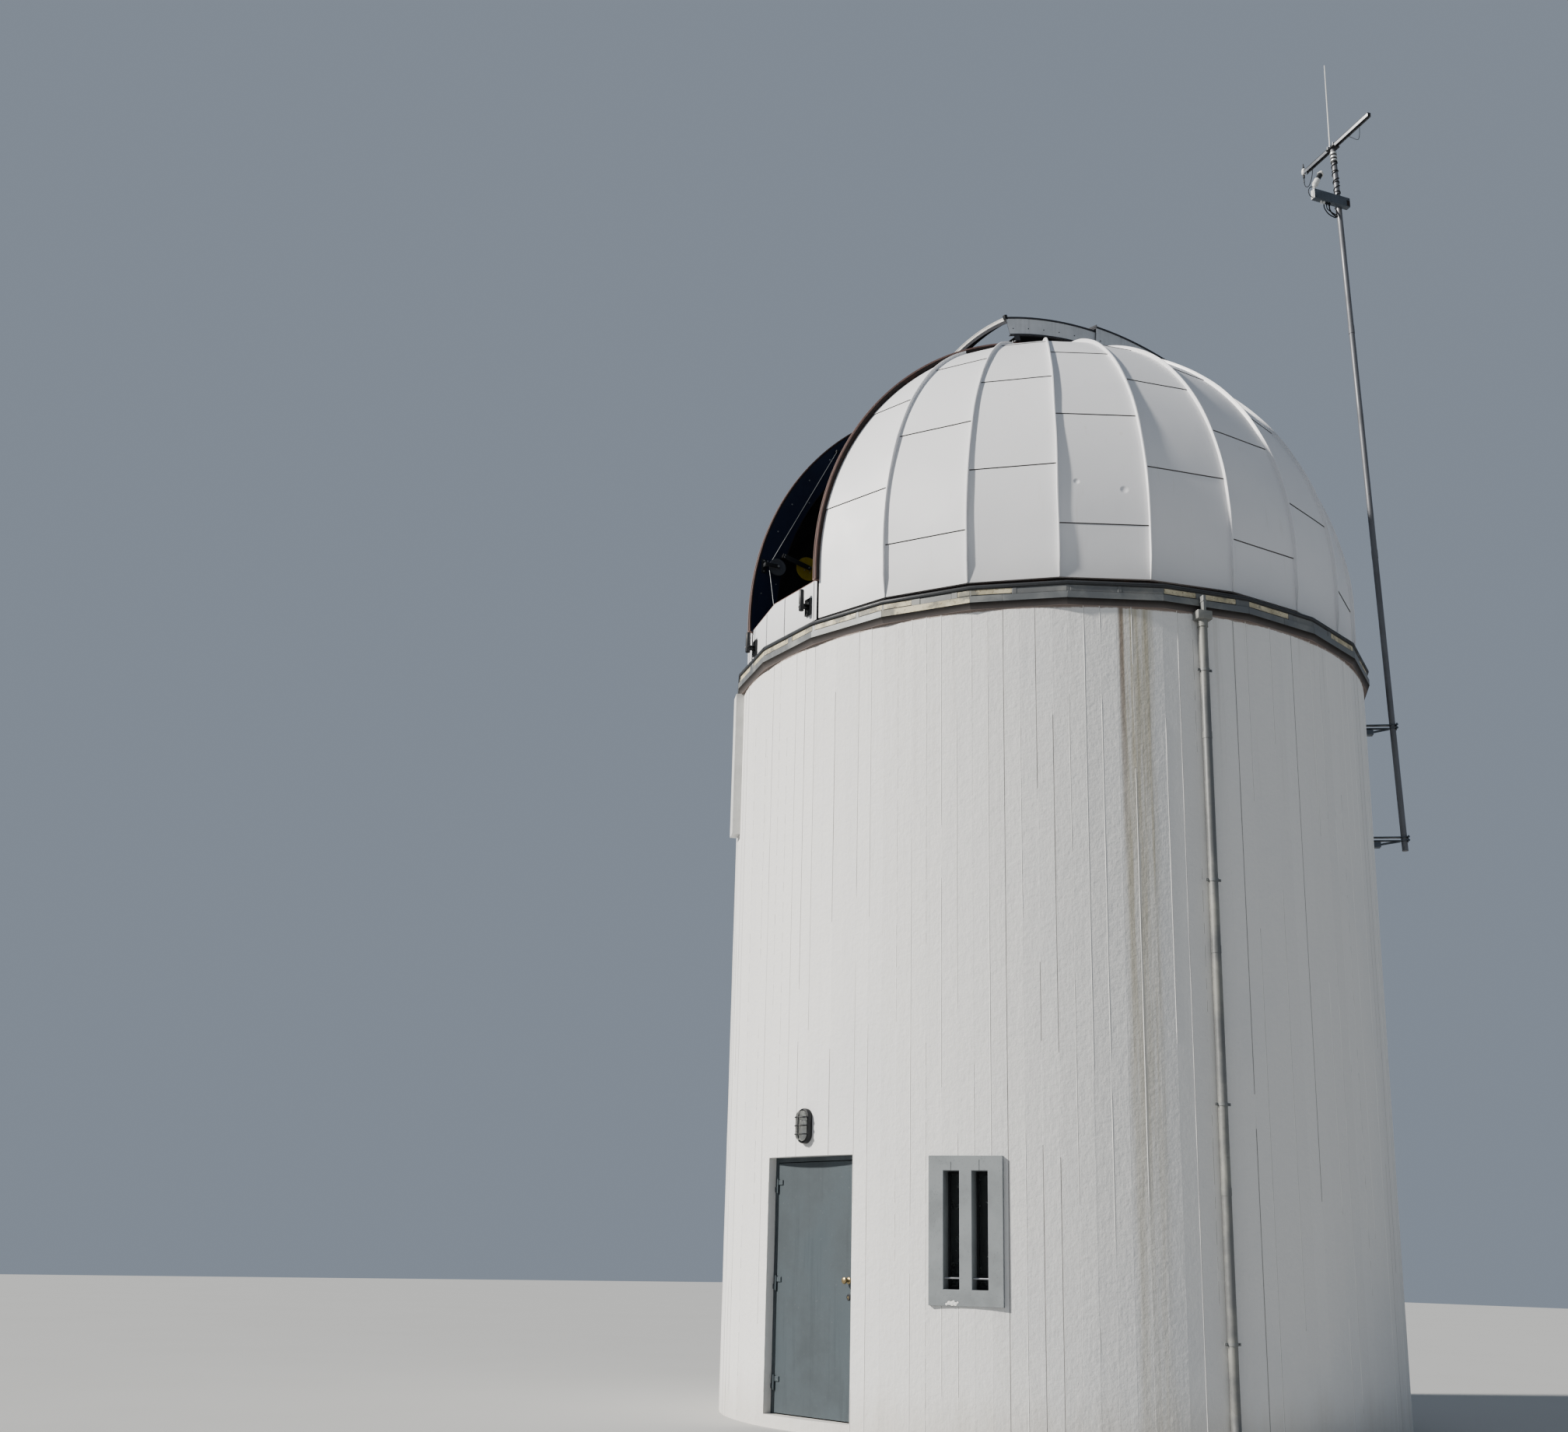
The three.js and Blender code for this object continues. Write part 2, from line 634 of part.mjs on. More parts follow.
const beside = box([-GIRDER_X - GAP, -4000, 6500], [GIRDER_X + GAP, 4000, 12000]);
const fullShell = domeSkin(-SHEET, 0, DOME_Z);
const shell = fullShell.subtract(beside);
const ribSkin = domeSkin(-10, RIB_H, DOME_Z + 5).subtract(beside);

// Two gores to a panel, and two ribs: the rib on a panel's far edge belongs to the next panel.
const PANEL_GORES = 2;
const PANELS = 5;

function addPanels() {
  const gore = 360 / GORES;
  const wide = PANEL_GORES * gore;
  const behindRib = RIB_W / 2 + 0.5;
  for (let i = 0; i < PANELS; i++) {
    const from = gore + wide * i;
    const near = i ? -behindRib : -200;
    let made = shell.intersect(
      wedge(from, from + wide, DOME_Z - 10, TOP_Z, near, behindRib + GAP),
    );
    for (const azimuth of [from, from + gore]) {
      if (azimuth === gore) continue;
      const strip = box([-RIB_W / 2, -4000, DOME_Z], [RIB_W / 2, -300, TOP_Z]);
      made = made.add(ribSkin.intersect(turned(strip, azimuth)));
    }
    node(dome, `dome_panel_right_${i + 1}`, made, domeWhite);
    node(dome, `dome_panel_left_${i + 1}`, made.mirror([1, 0, 0]), domeWhite);
  }
}

// Turns a solid drawn in X and Y and extruded along Z, so that its X, Y, Z become Y, Z, X.
const across = (m) => m.transform([0, 1, 0, 0, 0, 0, 1, 0, 1, 0, 0, 0, 0, 0, 0, 1]);

// A curved beam in the plane of the slit. Beside the apron its leg goes down behind the shell's outer face.
function slitBeam(x0, x1) {
  const count = Math.round(GIRDER_END / GIRDER_STEP);
  const at = (r, e) => [-r * Math.cos(rad(e)), CENTRE_Z + r * Math.sin(rad(e))];
  const arc = (r) => Array.from({ length: count + 1 }, (_, i) => at(r, i * GIRDER_STEP));
  const outline = [
    [-GIRDER_LEG, DOME_Z],
    [-GIRDER_LEG, APRON_TOP - 20],
    [-GIRDER_OUT, APRON_TOP - 20],
    ...arc(GIRDER_OUT),
    ...arc(GIRDER_IN).reverse(),
    [-GIRDER_IN, DOME_Z],
  ];
  return across(prism(outline, x0, x1));
}

const BASE_RING_TOP = 7060;
const BASE_RING_IN = 2850;
const BASE_RING_OUT = DOME_R - SHEET - 2 * GAP;

function addGirders() {
  const overRing = prism(
    polygon(BASE_RING_OUT + GAP, GORES),
    DOME_Z - 100,
    BASE_RING_TOP + GAP,
  );
  const sides = [
    ["slit_girder_right", GIRDER_X - GIRDER_T, GIRDER_X],
    ["slit_girder_left", -GIRDER_X, -GIRDER_X + GIRDER_T],
  ];
  for (const [name, x0, x1] of sides) {
    node(dome, name, slitBeam(x0, x1).subtract(overRing), rustBrown);
  }
}

function addBaseRing() {
  const made = ring(BASE_RING_IN, BASE_RING_OUT, BASE_RING_Z, BASE_RING_TOP, GORES);
  node(dome, "dome_base_ring", made, steel);
}

// The apron closes the slit band below the slit, and the rear strip behind it.
const BAND_HALF = GIRDER_X - GIRDER_T - GAP;

function addApron() {
  const low = box([-BAND_HALF, -4000, DOME_Z - 10], [BAND_HALF, -1000, APRON_TOP]);
  node(dome, "slit_apron", fullShell.intersect(low), domeWhite);
}

function addRearStrip() {
  const behind = box([-BAND_HALF, 0, DOME_Z - 10], [BAND_HALF, 4000, TOP_Z]);
  const y = -DOME_R * Math.cos(rad(SLIT_END));
  const slit = box([-2000, -100, CENTRE_Z + 1000], [2000, y, TOP_Z]);
  node(dome, "dome_rear_strip", fullShell.intersect(behind).subtract(slit), domeWhite);
}

// The arched lip along a leaf's front edge, drawn where that edge points along -Y.
function lipOf(inner, outer, halfWidth) {
  const arc = (r) =>
    Array.from({ length: 9 }, (_, i) => {
      const x = -halfWidth + (halfWidth * i) / 4;
      return [x, -Math.sqrt(r * r - x * x)];
    });
  return prism([...arc(outer), ...arc(inner).reverse()], 0, LEAF_SHEET);
}

// A shutter leaf: an arched sheet and two skirts, turned about the slit's horizontal axis, with its wheels.
const LEAF_FACETS = 8;
const AXLE_R = 8;
const OPENING_EDGE = 45; // sheet left beside the opening
const LUG_HALF = 30; // along the skirt

function leaf({ radius, half, ends, wheels, wheelX, lip, open }) {
  const arc = (r, w) =>
    Array.from({ length: LEAF_FACETS + 1 }, (_, i) => {
      const x = -w + (2 * w * i) / LEAF_FACETS;
      return [Math.sqrt(r * r - x * x), x];
    });
  const inside = half - LEAF_SHEET;
  const profile = [
    [SKIRT_IN, -half],
    ...arc(radius, half),
    [SKIRT_IN, half],
    [SKIRT_IN, inside],
    ...arc(radius - LEAF_SHEET, inside).reverse(),
    [SKIRT_IN, -inside],
  ];
  const points = profile.map(([r, x]) => new THREE.Vector2(r, x));
  points.push(points[0].clone());
  const g = new THREE.LatheGeometry(points, 72);
  // The lathe's axis becomes X, and its angle 0 points along -Y and goes up.
  g.applyMatrix4(new THREE.Matrix4().set(0, -1, 0, 0, 0, 0, -1, 0, 1, 0, 0, 0, 0, 0, 0, 1));
  const at = (e, r) => [-r * Math.cos(rad(e)), r * Math.sin(rad(e))];
  const slice = ([from, to], halfWidth) => {
    const sector = [[0, 0], at(from, 4000), at((from + to) / 2, 5000), at(to, 4000)];
    return across(prism(sector, -halfWidth, halfWidth));
  };
  const frontLip = lipOf(radius - lip[0], radius + lip[1], half).rotate([-ends[0], 0, 0]);
  let made = solid(g).intersect(slice(ends, half + 50)).add(frontLip);
  if (open) made = made.subtract(slice(open, half - OPENING_EDGE));

  const wheelRadius = GIRDER_OUT + GAP + WHEEL_R;
  const lug = box(
    [half - 9, -SKIRT_IN - 40, -LUG_HALF],
    [half - 1, -wheelRadius + 15, LUG_HALF],
  );
  const turnedPart = (x0, x1, r, sides) =>
    rod([x0, -wheelRadius, 0], [x1, -wheelRadius, 0], r, sides);
  const unit = join(
    turnedPart(wheelX - 6, wheelX + 6, WHEEL_R, 16),
    turnedPart(wheelX - 4, half - 2, AXLE_R, 8),
    lug,
  );
  for (const e of wheels) {
    const placed = unit.rotate([-e, 0, 0]);
    made = join(made, placed, placed.mirror([1, 0, 0]));
  }
  return made.translate([0, 0, CENTRE_Z]);
}

function addShutter() {
  node(dome, "shutter_front_leaf", leaf(FRONT_LEAF), shutterGrey);
  node(dome, "shutter_rear_leaf", leaf(REAR_LEAF), shutterGrey);
}

// The stops sit on the flat of a gore, halfway between two ribs, moved sideways on it.
const STOP_X = 230;
const STOP_Z = [7090, 7250]; // foot plate
const STOP_POST_Z = [7120, 7330];
const STOP_OUT = 85; // middle of the post, from the gore's face
const STOP_POST_R = 24;

function addStops() {
  const flat = 180 / GORES;
  const face = -(DOME_R * Math.cos(rad(flat)) + GAP);
  for (const [name, side] of [["shutter_stop_right", 1], ["shutter_stop_left", -1]]) {
    const x = side * STOP_X;
    const y = face - STOP_OUT;
    const made = join(
      box([x - 45, face - 12, STOP_Z[0]], [x + 45, face, STOP_Z[1]]),
      box([x - 18, y - 5, 7150], [x + 18, face - 10, 7190]),
      rod([x, y, STOP_POST_Z[0]], [x, y, STOP_POST_Z[1]], STOP_POST_R),
    );
    node(dome, name, turned(made, side * flat), darkGrey);
  }
}

// Inside the slit, beside the left girder: the yellow driving disc on an arm from the girder's inner edge
const GIRDER_FACE = -(GIRDER_X - GIRDER_T) + GAP;
const DISC = { x: -704, radial: 2437, elevation: 15.4, radius: 125, thick: 14 };
const HUB_R = 24;
const ARM_X = -676; // side of the arm that looks into the slit
const ARM_T = 10;
const PIN = [8, 9]; // end of the hub's pin beyond the arm, and its radius
const DISC_ARM_HALF = 25;
const DISC_ARM_TO = 2740; // radius where the arm ends on the girder

// Places a solid drawn with Y along the radius, pointing outwards as -Y, at an elevation in the slit.
const atElevation = (m, e) => m.rotate([-e, 0, 0]).translate([0, 0, CENTRE_Z]);

function addDrive() {
  const { x, radial, elevation, radius, thick } = DISC;
  const turnedPart = (x0, x1, r, sides) => rod([x0, -radial, 0], [x1, -radial, 0], r, sides);
  const hubEnd = ARM_X - ARM_T - GAP;
  const disc = join(turnedPart(x - thick, x, radius, 32), turnedPart(x - thick - 6, hubEnd, HUB_R, 16));
  node(dome, "drive_disc", atElevation(disc, elevation), yellow);
  const arm = join(
    box([ARM_X - ARM_T, -DISC_ARM_TO, -DISC_ARM_HALF], [ARM_X, -radial, DISC_ARM_HALF]),
    turnedPart(ARM_X - ARM_T, ARM_X, DISC_ARM_HALF, 16),
    turnedPart(ARM_X - 1, ARM_X + PIN[0], PIN[1], 8),
    box([GIRDER_FACE, -DISC_ARM_TO, -DISC_ARM_HALF], [ARM_X, -GIRDER_IN - 20, DISC_ARM_HALF]),
  );
  node(dome, "drive_bracket", atElevation(arm, elevation), darkGrey);
}

// The shutter cable runs from a lug on the left girder over its pulley down to the apron.
const PULLEY = { x: -702, y: -2690, z: 8113, rim: 90, groove: 78 };
const RIM_HALF = 9; // outer and inner faces of the pulley's rims, from its middle
const RIM_IN = 5;
const PULLEY_ARM = { x: -682, from: -2835, half: 20, thick: 8 }; // on the pulley's free side
const PULLEY_PLATE = { y: [-2850, -2800], half: 75, thick: 10 }; // on the girder
const CABLE_R = 4;
const LUG_R = 12;
const CABLE_TOP = { radius: 2878, elevation: 45, x: -738 };
const CABLE_END = [-300, -2860, 7300];

function addCable() {
  const { x, y, z, rim, groove } = PULLEY;
  const turnedPart = (x0, x1, radius, sides) => rod([x0, y, z], [x1, y, z], radius, sides);
  const arm = PULLEY_ARM;
  const armFace = arm.x + arm.thick;
  const plate = PULLEY_PLATE;
  const pulley = join(
    turnedPart(x - RIM_HALF + 1, x + RIM_HALF - 1, groove, 24),
    turnedPart(x - RIM_HALF, x - RIM_IN, rim, 24),
    turnedPart(x + RIM_IN, x + RIM_HALF, rim, 24),
    turnedPart(GIRDER_FACE, armFace, LUG_R, 10),
    box([arm.x, arm.from, z - arm.half], [armFace, y + LUG_R, z + arm.half]),
    box([GIRDER_FACE, arm.from, z - arm.half], [armFace, arm.from + 30, z + arm.half]),
    box(
      [GIRDER_FACE, plate.y[0], z - plate.half],
      [GIRDER_FACE + plate.thick, plate.y[1], z + plate.half],
    ),
  );
  node(dome, "cable_pulley", pulley, steel);
  const e = rad(CABLE_TOP.elevation);
  const upper = [
    CABLE_TOP.x,
    -CABLE_TOP.radius * Math.cos(e),
    CENTRE_Z + CABLE_TOP.radius * Math.sin(e),
  ];
  const round = groove + CABLE_R + GAP;
  const onPulley = (angle, off = 0) => [
    x,
    y + (round + off) * Math.cos(rad(angle)),
    z + (round + off) * Math.sin(rad(angle)),
  ];
  const leaving = onPulley(173.9);
  const clearOfRim = [x, leaving[1] - 5, leaving[2] - 50];
  const path = [upper, onPulley(152.5), onPulley(163, 1.4), leaving, clearOfRim, CABLE_END];
  const [endX, endY, endZ] = CABLE_END;
  const cable = join(
    ...path.slice(1).map((to, i) => rod(path[i], to, CABLE_R, 6)),
    rod([CABLE_TOP.x + 8, upper[1], upper[2]], [GIRDER_FACE, upper[1], upper[2]], LUG_R, 8),
    box([endX - 20, -2941, endZ - 20], [endX + 20, endY + 10, endZ + 20]),
  );
  node(dome, "shutter_cable", cable, darkGrey);
}

addPanels();
addGirders();
addBaseRing();
addApron();
addRearStrip();
addShutter();
addStops();
addDrive();
addCable();

const observatory = new THREE.Group();
observatory.add(tower, dome);

export default observatory;
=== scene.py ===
import math
import random

import bmesh
import bpy
from mathutils import Matrix, Vector, noise


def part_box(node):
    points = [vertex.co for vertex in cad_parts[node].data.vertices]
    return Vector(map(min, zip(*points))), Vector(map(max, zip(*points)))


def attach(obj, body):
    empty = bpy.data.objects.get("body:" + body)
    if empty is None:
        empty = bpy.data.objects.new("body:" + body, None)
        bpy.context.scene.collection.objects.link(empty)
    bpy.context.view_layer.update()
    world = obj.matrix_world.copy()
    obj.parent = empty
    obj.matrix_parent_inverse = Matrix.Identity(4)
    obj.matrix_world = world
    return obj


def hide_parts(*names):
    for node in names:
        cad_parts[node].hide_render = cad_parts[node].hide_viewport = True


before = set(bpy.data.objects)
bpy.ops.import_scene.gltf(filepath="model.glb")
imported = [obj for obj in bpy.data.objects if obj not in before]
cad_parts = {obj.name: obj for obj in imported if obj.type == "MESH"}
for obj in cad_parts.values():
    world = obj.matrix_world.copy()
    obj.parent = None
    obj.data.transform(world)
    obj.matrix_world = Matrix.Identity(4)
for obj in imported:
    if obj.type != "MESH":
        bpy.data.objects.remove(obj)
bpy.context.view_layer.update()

# A small round observatory, finished around its fixed frame. Metres, +Z up, the door faces -Y.
# Azimuths are in degrees from -Y towards +X. Elevations in the slit run from the front (0) over the top (90).
GAP = 0.0003  # between pieces that touch
WALL_R = 3.086
WALL_FACE = -(WALL_R + GAP)  # where things are fixed to the wall
WALL_TOP = 6.87
BOARD_ANGLE = 2.5
STAIN_AZ = 55.5  # a stain that runs down the wall, and its dark core
CORE_AZ = STAIN_AZ - 2.2
GORES = 24
GORE_ANGLE = 360 / GORES
HALF_GORE = math.radians(GORE_ANGLE / 2)
DOME_R = 3.014
SHEET = 0.03
DOME_Z = 7.015
CENTRE_Z = 7.515
SLIT_AZ = -16
SLIT_END = 98
APRON_TOP = 7.41
APRON_SEAMS = (-13.0, -4.8, 3.6, 13.4)
BASE_RING_TOP = 7.0603
GIRDER_X = 0.78
GIRDER_T = 0.035
GIRDER_OUT = 2.96
GIRDER_IN = 2.675
GIRDER_LEG = 2.895
GIRDER_END = 150
GIRDER_FACE = -(GIRDER_X - GIRDER_T - GAP)  # inner face of the left girder
# Shutter leaves: radius, half width, first and last elevation
FRONT_LEAF = (3.318, 0.83, 73.5, 128)
FRONT_OPEN = (76.1, 82)
REAR_LEAF = (3.363, 0.85, 93, 147)
LEAF_SHEET = 0.006
SKIRT_IN = 3.022
WHEEL_R = 0.02
EAVES_LOW = 6.722
DOOR_FACE = -2.96
WINDOW_AZ = 28.7
PLATE_FACE = -3.1
SLOT_X = 0.115
SLOT_HALF = 0.0645
LAMP_Z = 2.43
DOWNPIPE_AZ = 66.4
PIPE_R = 0.038
MAST_AZ = 132
MAST_FOOT_R = 3.44
MAST_TIP_R = 3.207
MAST_LOW = 5.3
MAST_HIGH = 13.14
ARM_TURN = 28.2
BRACKETS = (("low", 5.42), ("high", 6.56))
BOX_Z = 12.438
BOX_TURN = -61
DISC_ELEVATION = 15.4
DISC_X, DISC_R = -0.711, 2.437
PULLEY = (-0.702, -2.69, 8.113)
CABLE_REACH = 0.0823
SIDES = (("right", 1), ("left", -1))


def polar(radius, azimuth, z=0.0):
    a = math.radians(azimuth)
    return Vector((radius * math.sin(a), -radius * math.cos(a), z))


def turn(azimuth):
    return Matrix.Rotation(math.radians(azimuth), 4, "Z")


def shift(x, y, z):
    return Matrix.Translation((x, y, z))


DOME_TURN = turn(SLIT_AZ)
MIRROR = Matrix.Diagonal((-1, 1, 1, 1))
FACING_OUT = Matrix.Rotation(math.radians(90), 4, "X")
FACING_SIDE = Matrix.Rotation(math.radians(90), 4, "Y")


def around(count, start=0.0):
    """Angles in radians, evenly spaced round a circle."""
    return [2 * math.pi * (k + start) / count for k in range(count)]


def half_round(count):
    """Angles in radians from 0 to a half turn."""
    return [math.pi * k / count for k in range(count + 1)]


# Shader helpers
class Shader:
    """A principled material and short calls that add nodes to it."""

    def __init__(self, name, color, roughness, metallic=0.0):
        self.material = bpy.data.materials.new(name)
        self.material.use_nodes = True
        self.tree = self.material.node_tree
        self.bsdf = self.tree.nodes["Principled BSDF"]
        self.bsdf.inputs["Base Color"].default_value = (*color, 1)
        self.bsdf.inputs["Roughness"].default_value = roughness
        self.bsdf.inputs["Metallic"].default_value = metallic
        self.color = self.add("ShaderNodeRGB").outputs[0]
        self.color.default_value = (*color, 1)
        self.place = self.add("ShaderNodeTexCoord").outputs["Object"]

    def add(self, kind, inputs=(), **settings):
        made = self.tree.nodes.new(kind)
        for key, value in settings.items():
            setattr(made, key, value)
        for key, value in dict(inputs).items():
            self.put(made.inputs[key], value)
        return made

    def put(self, socket, value):
        if isinstance(value, bpy.types.NodeSocket):
            self.tree.links.new(value, socket)
        else:
            socket.default_value = value

    def math(self, operation, a, b=0.0):
        return self.add("ShaderNodeMath", {0: a, 1: b}, operation=operation).outputs[0]

    def times(self, a, b):
        return self.math("MULTIPLY", a, b)

    def apart(self, a, b):
        return self.math("ABSOLUTE", self.math("SUBTRACT", a, b))

    def xyz(self):
        return self.add("ShaderNodeSeparateXYZ", {0: self.place}).outputs

    def noise(self, scale, detail=3.0, roughness=0.55):
        """Noise of one scale, or of three, one for each direction."""
        vector = self.place
        if isinstance(scale, tuple):
            vector = self.add("ShaderNodeMapping", {"Vector": vector, "Scale": scale}).outputs[0]
            scale = 1.0
        made = self.add("ShaderNodeTexNoise", {
            "Vector": vector, "Scale": scale, "Detail": detail, "Roughness": roughness,
        })
        return made.outputs["Fac"]

    def cells(self, scale):
        return self.add("ShaderNodeTexVoronoi", {"Vector": self.place, "Scale": scale}).outputs

    def grains(self, scale):
        """One tone for each cell."""
        return self.add("ShaderNodeSeparateColor", {0: self.cells(scale)["Color"]}).outputs[0]

    def span(self, value, low, high, to_low=0.0, to_high=1.0):
        made = self.add("ShaderNodeMapRange", {
            "Value": value, "From Min": low, "From Max": high, "To Min": to_low, "To Max": to_high,
        }, interpolation_type="SMOOTHSTEP")
        return made.outputs[0]

    def tint(self, factor, color):
        made = self.add("ShaderNodeMix", data_type="RGBA", blend_type="MIX")
        for number, value in ((0, factor), (6, self.color), (7, (*color, 1))):
            self.put(made.inputs[number], value)
        self.color = made.outputs[2]

    def wash(self, factor, amount, color):
        self.tint(self.times(factor, amount), color)

    def patches(self, pattern, low, high, amount, color):
        """Tints from where a pattern is low to where it is high, there by the amount."""
        self.tint(self.span(pattern, low, high, 0.0, amount), color)

    def bump(self, height, strength, distance):
        made = self.add("ShaderNodeBump", {"Height": height, "Strength": strength, "Distance": distance})
        normal = self.bsdf.inputs["Normal"]
        if normal.is_linked:
            self.put(made.inputs["Normal"], normal.links[0].from_socket)
        self.put(normal, made.outputs[0])

    def rough(self, value, low, high):
        self.put(self.bsdf.inputs["Roughness"], self.span(value, 0.3, 0.7, low, high))

    def done(self):
        self.put(self.bsdf.inputs["Base Color"], self.color)
        return self.material


def shade_of(color, factor):
    return tuple(c * factor for c in color)


def wall_paint():
    """White paint on board-marked concrete: drips, dirt at the foot, a stain, bare at its top, bluish painted
    tree shadow.
    """
    s = Shader("wall_paint", (0.8, 0.795, 0.78), 0.75)
    xyz = s.xyz()
    z = xyz["Z"]
    azimuth = s.times(s.math("ARCTAN2", xyz["X"], s.times(xyz["Y"], -1.0)), 180 / math.pi)
    board = s.math("FLOOR", s.math("DIVIDE", azimuth, BOARD_ANGLE))
    tone = s.add("ShaderNodeTexWhiteNoise", {"W": board}, noise_dimensions="1D").outputs["Value"]
    s.wash(tone, 0.22, (0.64, 0.635, 0.63))
    pattern = s.noise((6.0, 6.0, 0.7), 4.0, 0.6)
    s.patches(pattern, 0.52, 0.78, 0.22, (0.7, 0.7, 0.7))
    # Bluish patches: painted shade, standing in for tree shadows on the wall.
    s.patches(s.noise(0.55, 5.0, 0.6), 0.5, 0.72, 0.24, (0.64, 0.66, 0.69))
    drips = s.span(s.noise((14.0, 14.0, 0.35), 3.0, 0.6), 0.55, 0.75)
    s.wash(s.times(drips, s.span(z, 4.2, 6.7)), 0.3, (0.52, 0.5, 0.46))
    wander = s.times(s.math("SUBTRACT", s.noise((2.4, 2.4, 0.48), 3.0, 0.6), 0.5), 2.0)
    stripe = s.span(s.math("ADD", s.apart(azimuth, STAIN_AZ), wander), 3.2, 1.7)
    streaky = s.span(s.noise((22.0, 22.0, 0.4), 4.0, 0.7), 0.35, 0.65, 0.3, 1.0)
    stain = s.times(s.times(stripe, streaky), s.span(z, 0.2, 5.5, 0.45, 1.0))
    s.wash(stain, 0.85, (0.45, 0.41, 0.305))
    core = s.times(s.span(s.apart(azimuth, CORE_AZ), 0.6, 0.15), s.span(z, 4.0, 6.5))
    s.wash(core, 0.75, (0.2, 0.145, 0.1))
    s.patches(s.math("ADD", z, s.times(pattern, 0.5)), 0.75, 0.2, 0.35, (0.46, 0.42, 0.35))
    ragged = s.math("ADD", z, s.times(s.noise(14.0, 4.0, 0.7), 0.03))
    s.patches(ragged, EAVES_LOW - 0.003, EAVES_LOW + 0.003, 0.85, (0.3, 0.24, 0.21))
    grain = s.noise((45.0, 45.0, 5.0), 6.0, 0.65)
    s.bump(grain, 0.45, 0.004)
    s.bump(s.noise(26.0, 3.0, 0.6), 0.6, 0.006)
    s.bump(s.noise(7.0, 3.0, 0.6), 0.4, 0.012)
    s.bump(s.span(s.cells(34.0)["Distance"], 0.0, 0.16), 0.2, 0.003)
    s.patches(s.noise(75.0, 3.0, 0.7), 0.62, 0.74, 0.18, (0.95, 0.95, 0.93))
    s.rough(grain, 0.66, 0.86)
    return s.done()


def on_dome(azimuth, elevation):
    """A point on the dome at rest, its azimuth measured from the slit."""
    a = math.radians(elevation)
    return tuple(DOME_TURN @ polar(DOME_R * math.cos(a), azimuth, CENTRE_Z + DOME_R * math.sin(a)))


# Two dents in the gore to the right of the door: place, radius, and whether the paint is chipped there
DENTS = ((on_dome(63.2, 7.7), 0.035, True), (on_dome(71.1, 6.4), 0.045, False))


def dome_paint():
    """White satin paint on sheet steel: faint clouds, rusty runs below seams, dust low down, two dents."""
    s = Shader("dome_paint", (0.8, 0.8, 0.81), 0.42)
    clouds = s.noise(0.9, 4.0, 0.55)
    s.patches(clouds, 0.42, 0.75, 0.26, (0.64, 0.65, 0.68))
    s.patches(s.noise((16.0, 16.0, 0.6), 3.0, 0.6), 0.62, 0.8, 0.22, (0.58, 0.54, 0.48))
    s.patches(s.noise((30.0, 30.0, 1.2), 3.0, 0.7), 0.7, 0.84, 0.35, (0.45, 0.3, 0.18))
    s.wash(s.times(s.span(s.xyz()["Z"], 7.45, 7.0), clouds), 0.4, (0.5, 0.5, 0.48))
    for spot, size, chipped in DENTS:
        away = s.add("ShaderNodeVectorMath", {0: s.place, 1: spot}, operation="DISTANCE").outputs["Value"]
        s.bump(s.span(away, 0.2 * size, size), 0.9, 0.01)
        if chipped:
            s.tint(s.span(away, 0.014, 0.009), (0.16, 0.1, 0.07))
    s.bump(s.noise(1.6, 2.0, 0.5), 0.2, 0.02)
    s.bump(s.noise(60.0, 3.0, 0.6), 0.08, 0.001)
    s.rough(clouds, 0.36, 0.52)
    return s.done()


def worn_paint(name, color, roughness, wear, amount, scale, metallic=0.0, run=0.3):
    """Paint with clouds of tone, vertical runs and specks where it is worn."""
    s = Shader(name, color, roughness, metallic)
    clouds = s.noise(scale, 5.0, 0.6)
    s.patches(clouds, 0.4, 0.72, amount, shade_of(color, 0.62))
    s.patches(s.noise((scale * 9, scale * 9, scale * 0.5), 3.0, 0.6), 0.5, 0.75, run, shade_of(color, 0.5))
    s.patches(s.noise(scale * 14, 5.0, 0.75), 0.63, 0.72, 0.6, wear)
    s.bump(s.noise(scale * 20, 4.0, 0.65), 0.2, 0.002)
    s.rough(clouds, max(0.15, roughness - 0.1), min(0.95, roughness + 0.14))
    return s.done()


def zinc_sheet(name, color, pale):
    """Weathered zinc: pale bloom in patches, dark lines of dirt, a soft metal sheen."""
    s = Shader(name, color, 0.5, 0.35)
    bloom = s.noise(2.2, 5.0, 0.65)
    s.patches(bloom, 0.42, 0.66, 0.75, pale)
    s.wash(s.grains(3.1), 0.25, shade_of(color, 0.6))
    s.patches(s.noise((8.0, 8.0, 30.0), 4.0, 0.7), 0.6, 0.8, 0.45, (0.13, 0.12, 0.11))
    s.bump(s.noise(9.0, 3.0, 0.5), 0.2, 0.006)
    s.rough(bloom, 0.38, 0.66)
    return s.done()


def cream_coat():
    """A pale yellowish coat, mottled, worn through to grey and speckled with brown."""
    s = Shader("cream_coat", (0.66, 0.6, 0.44), 0.55)
    cloudy = s.noise(7.0, 5.0, 0.65)
    s.patches(cloudy, 0.38, 0.62, 0.8, (0.42, 0.38, 0.27))
    s.patches(s.noise(4.0, 4.0, 0.6), 0.52, 0.62, 0.85, (0.2, 0.2, 0.18))
    s.patches(s.noise(55.0, 4.0, 0.7), 0.58, 0.66, 0.75, (0.17, 0.105, 0.06))
    s.bump(cloudy, 0.4, 0.003)
    s.rough(cloudy, 0.45, 0.7)
    return s.done()


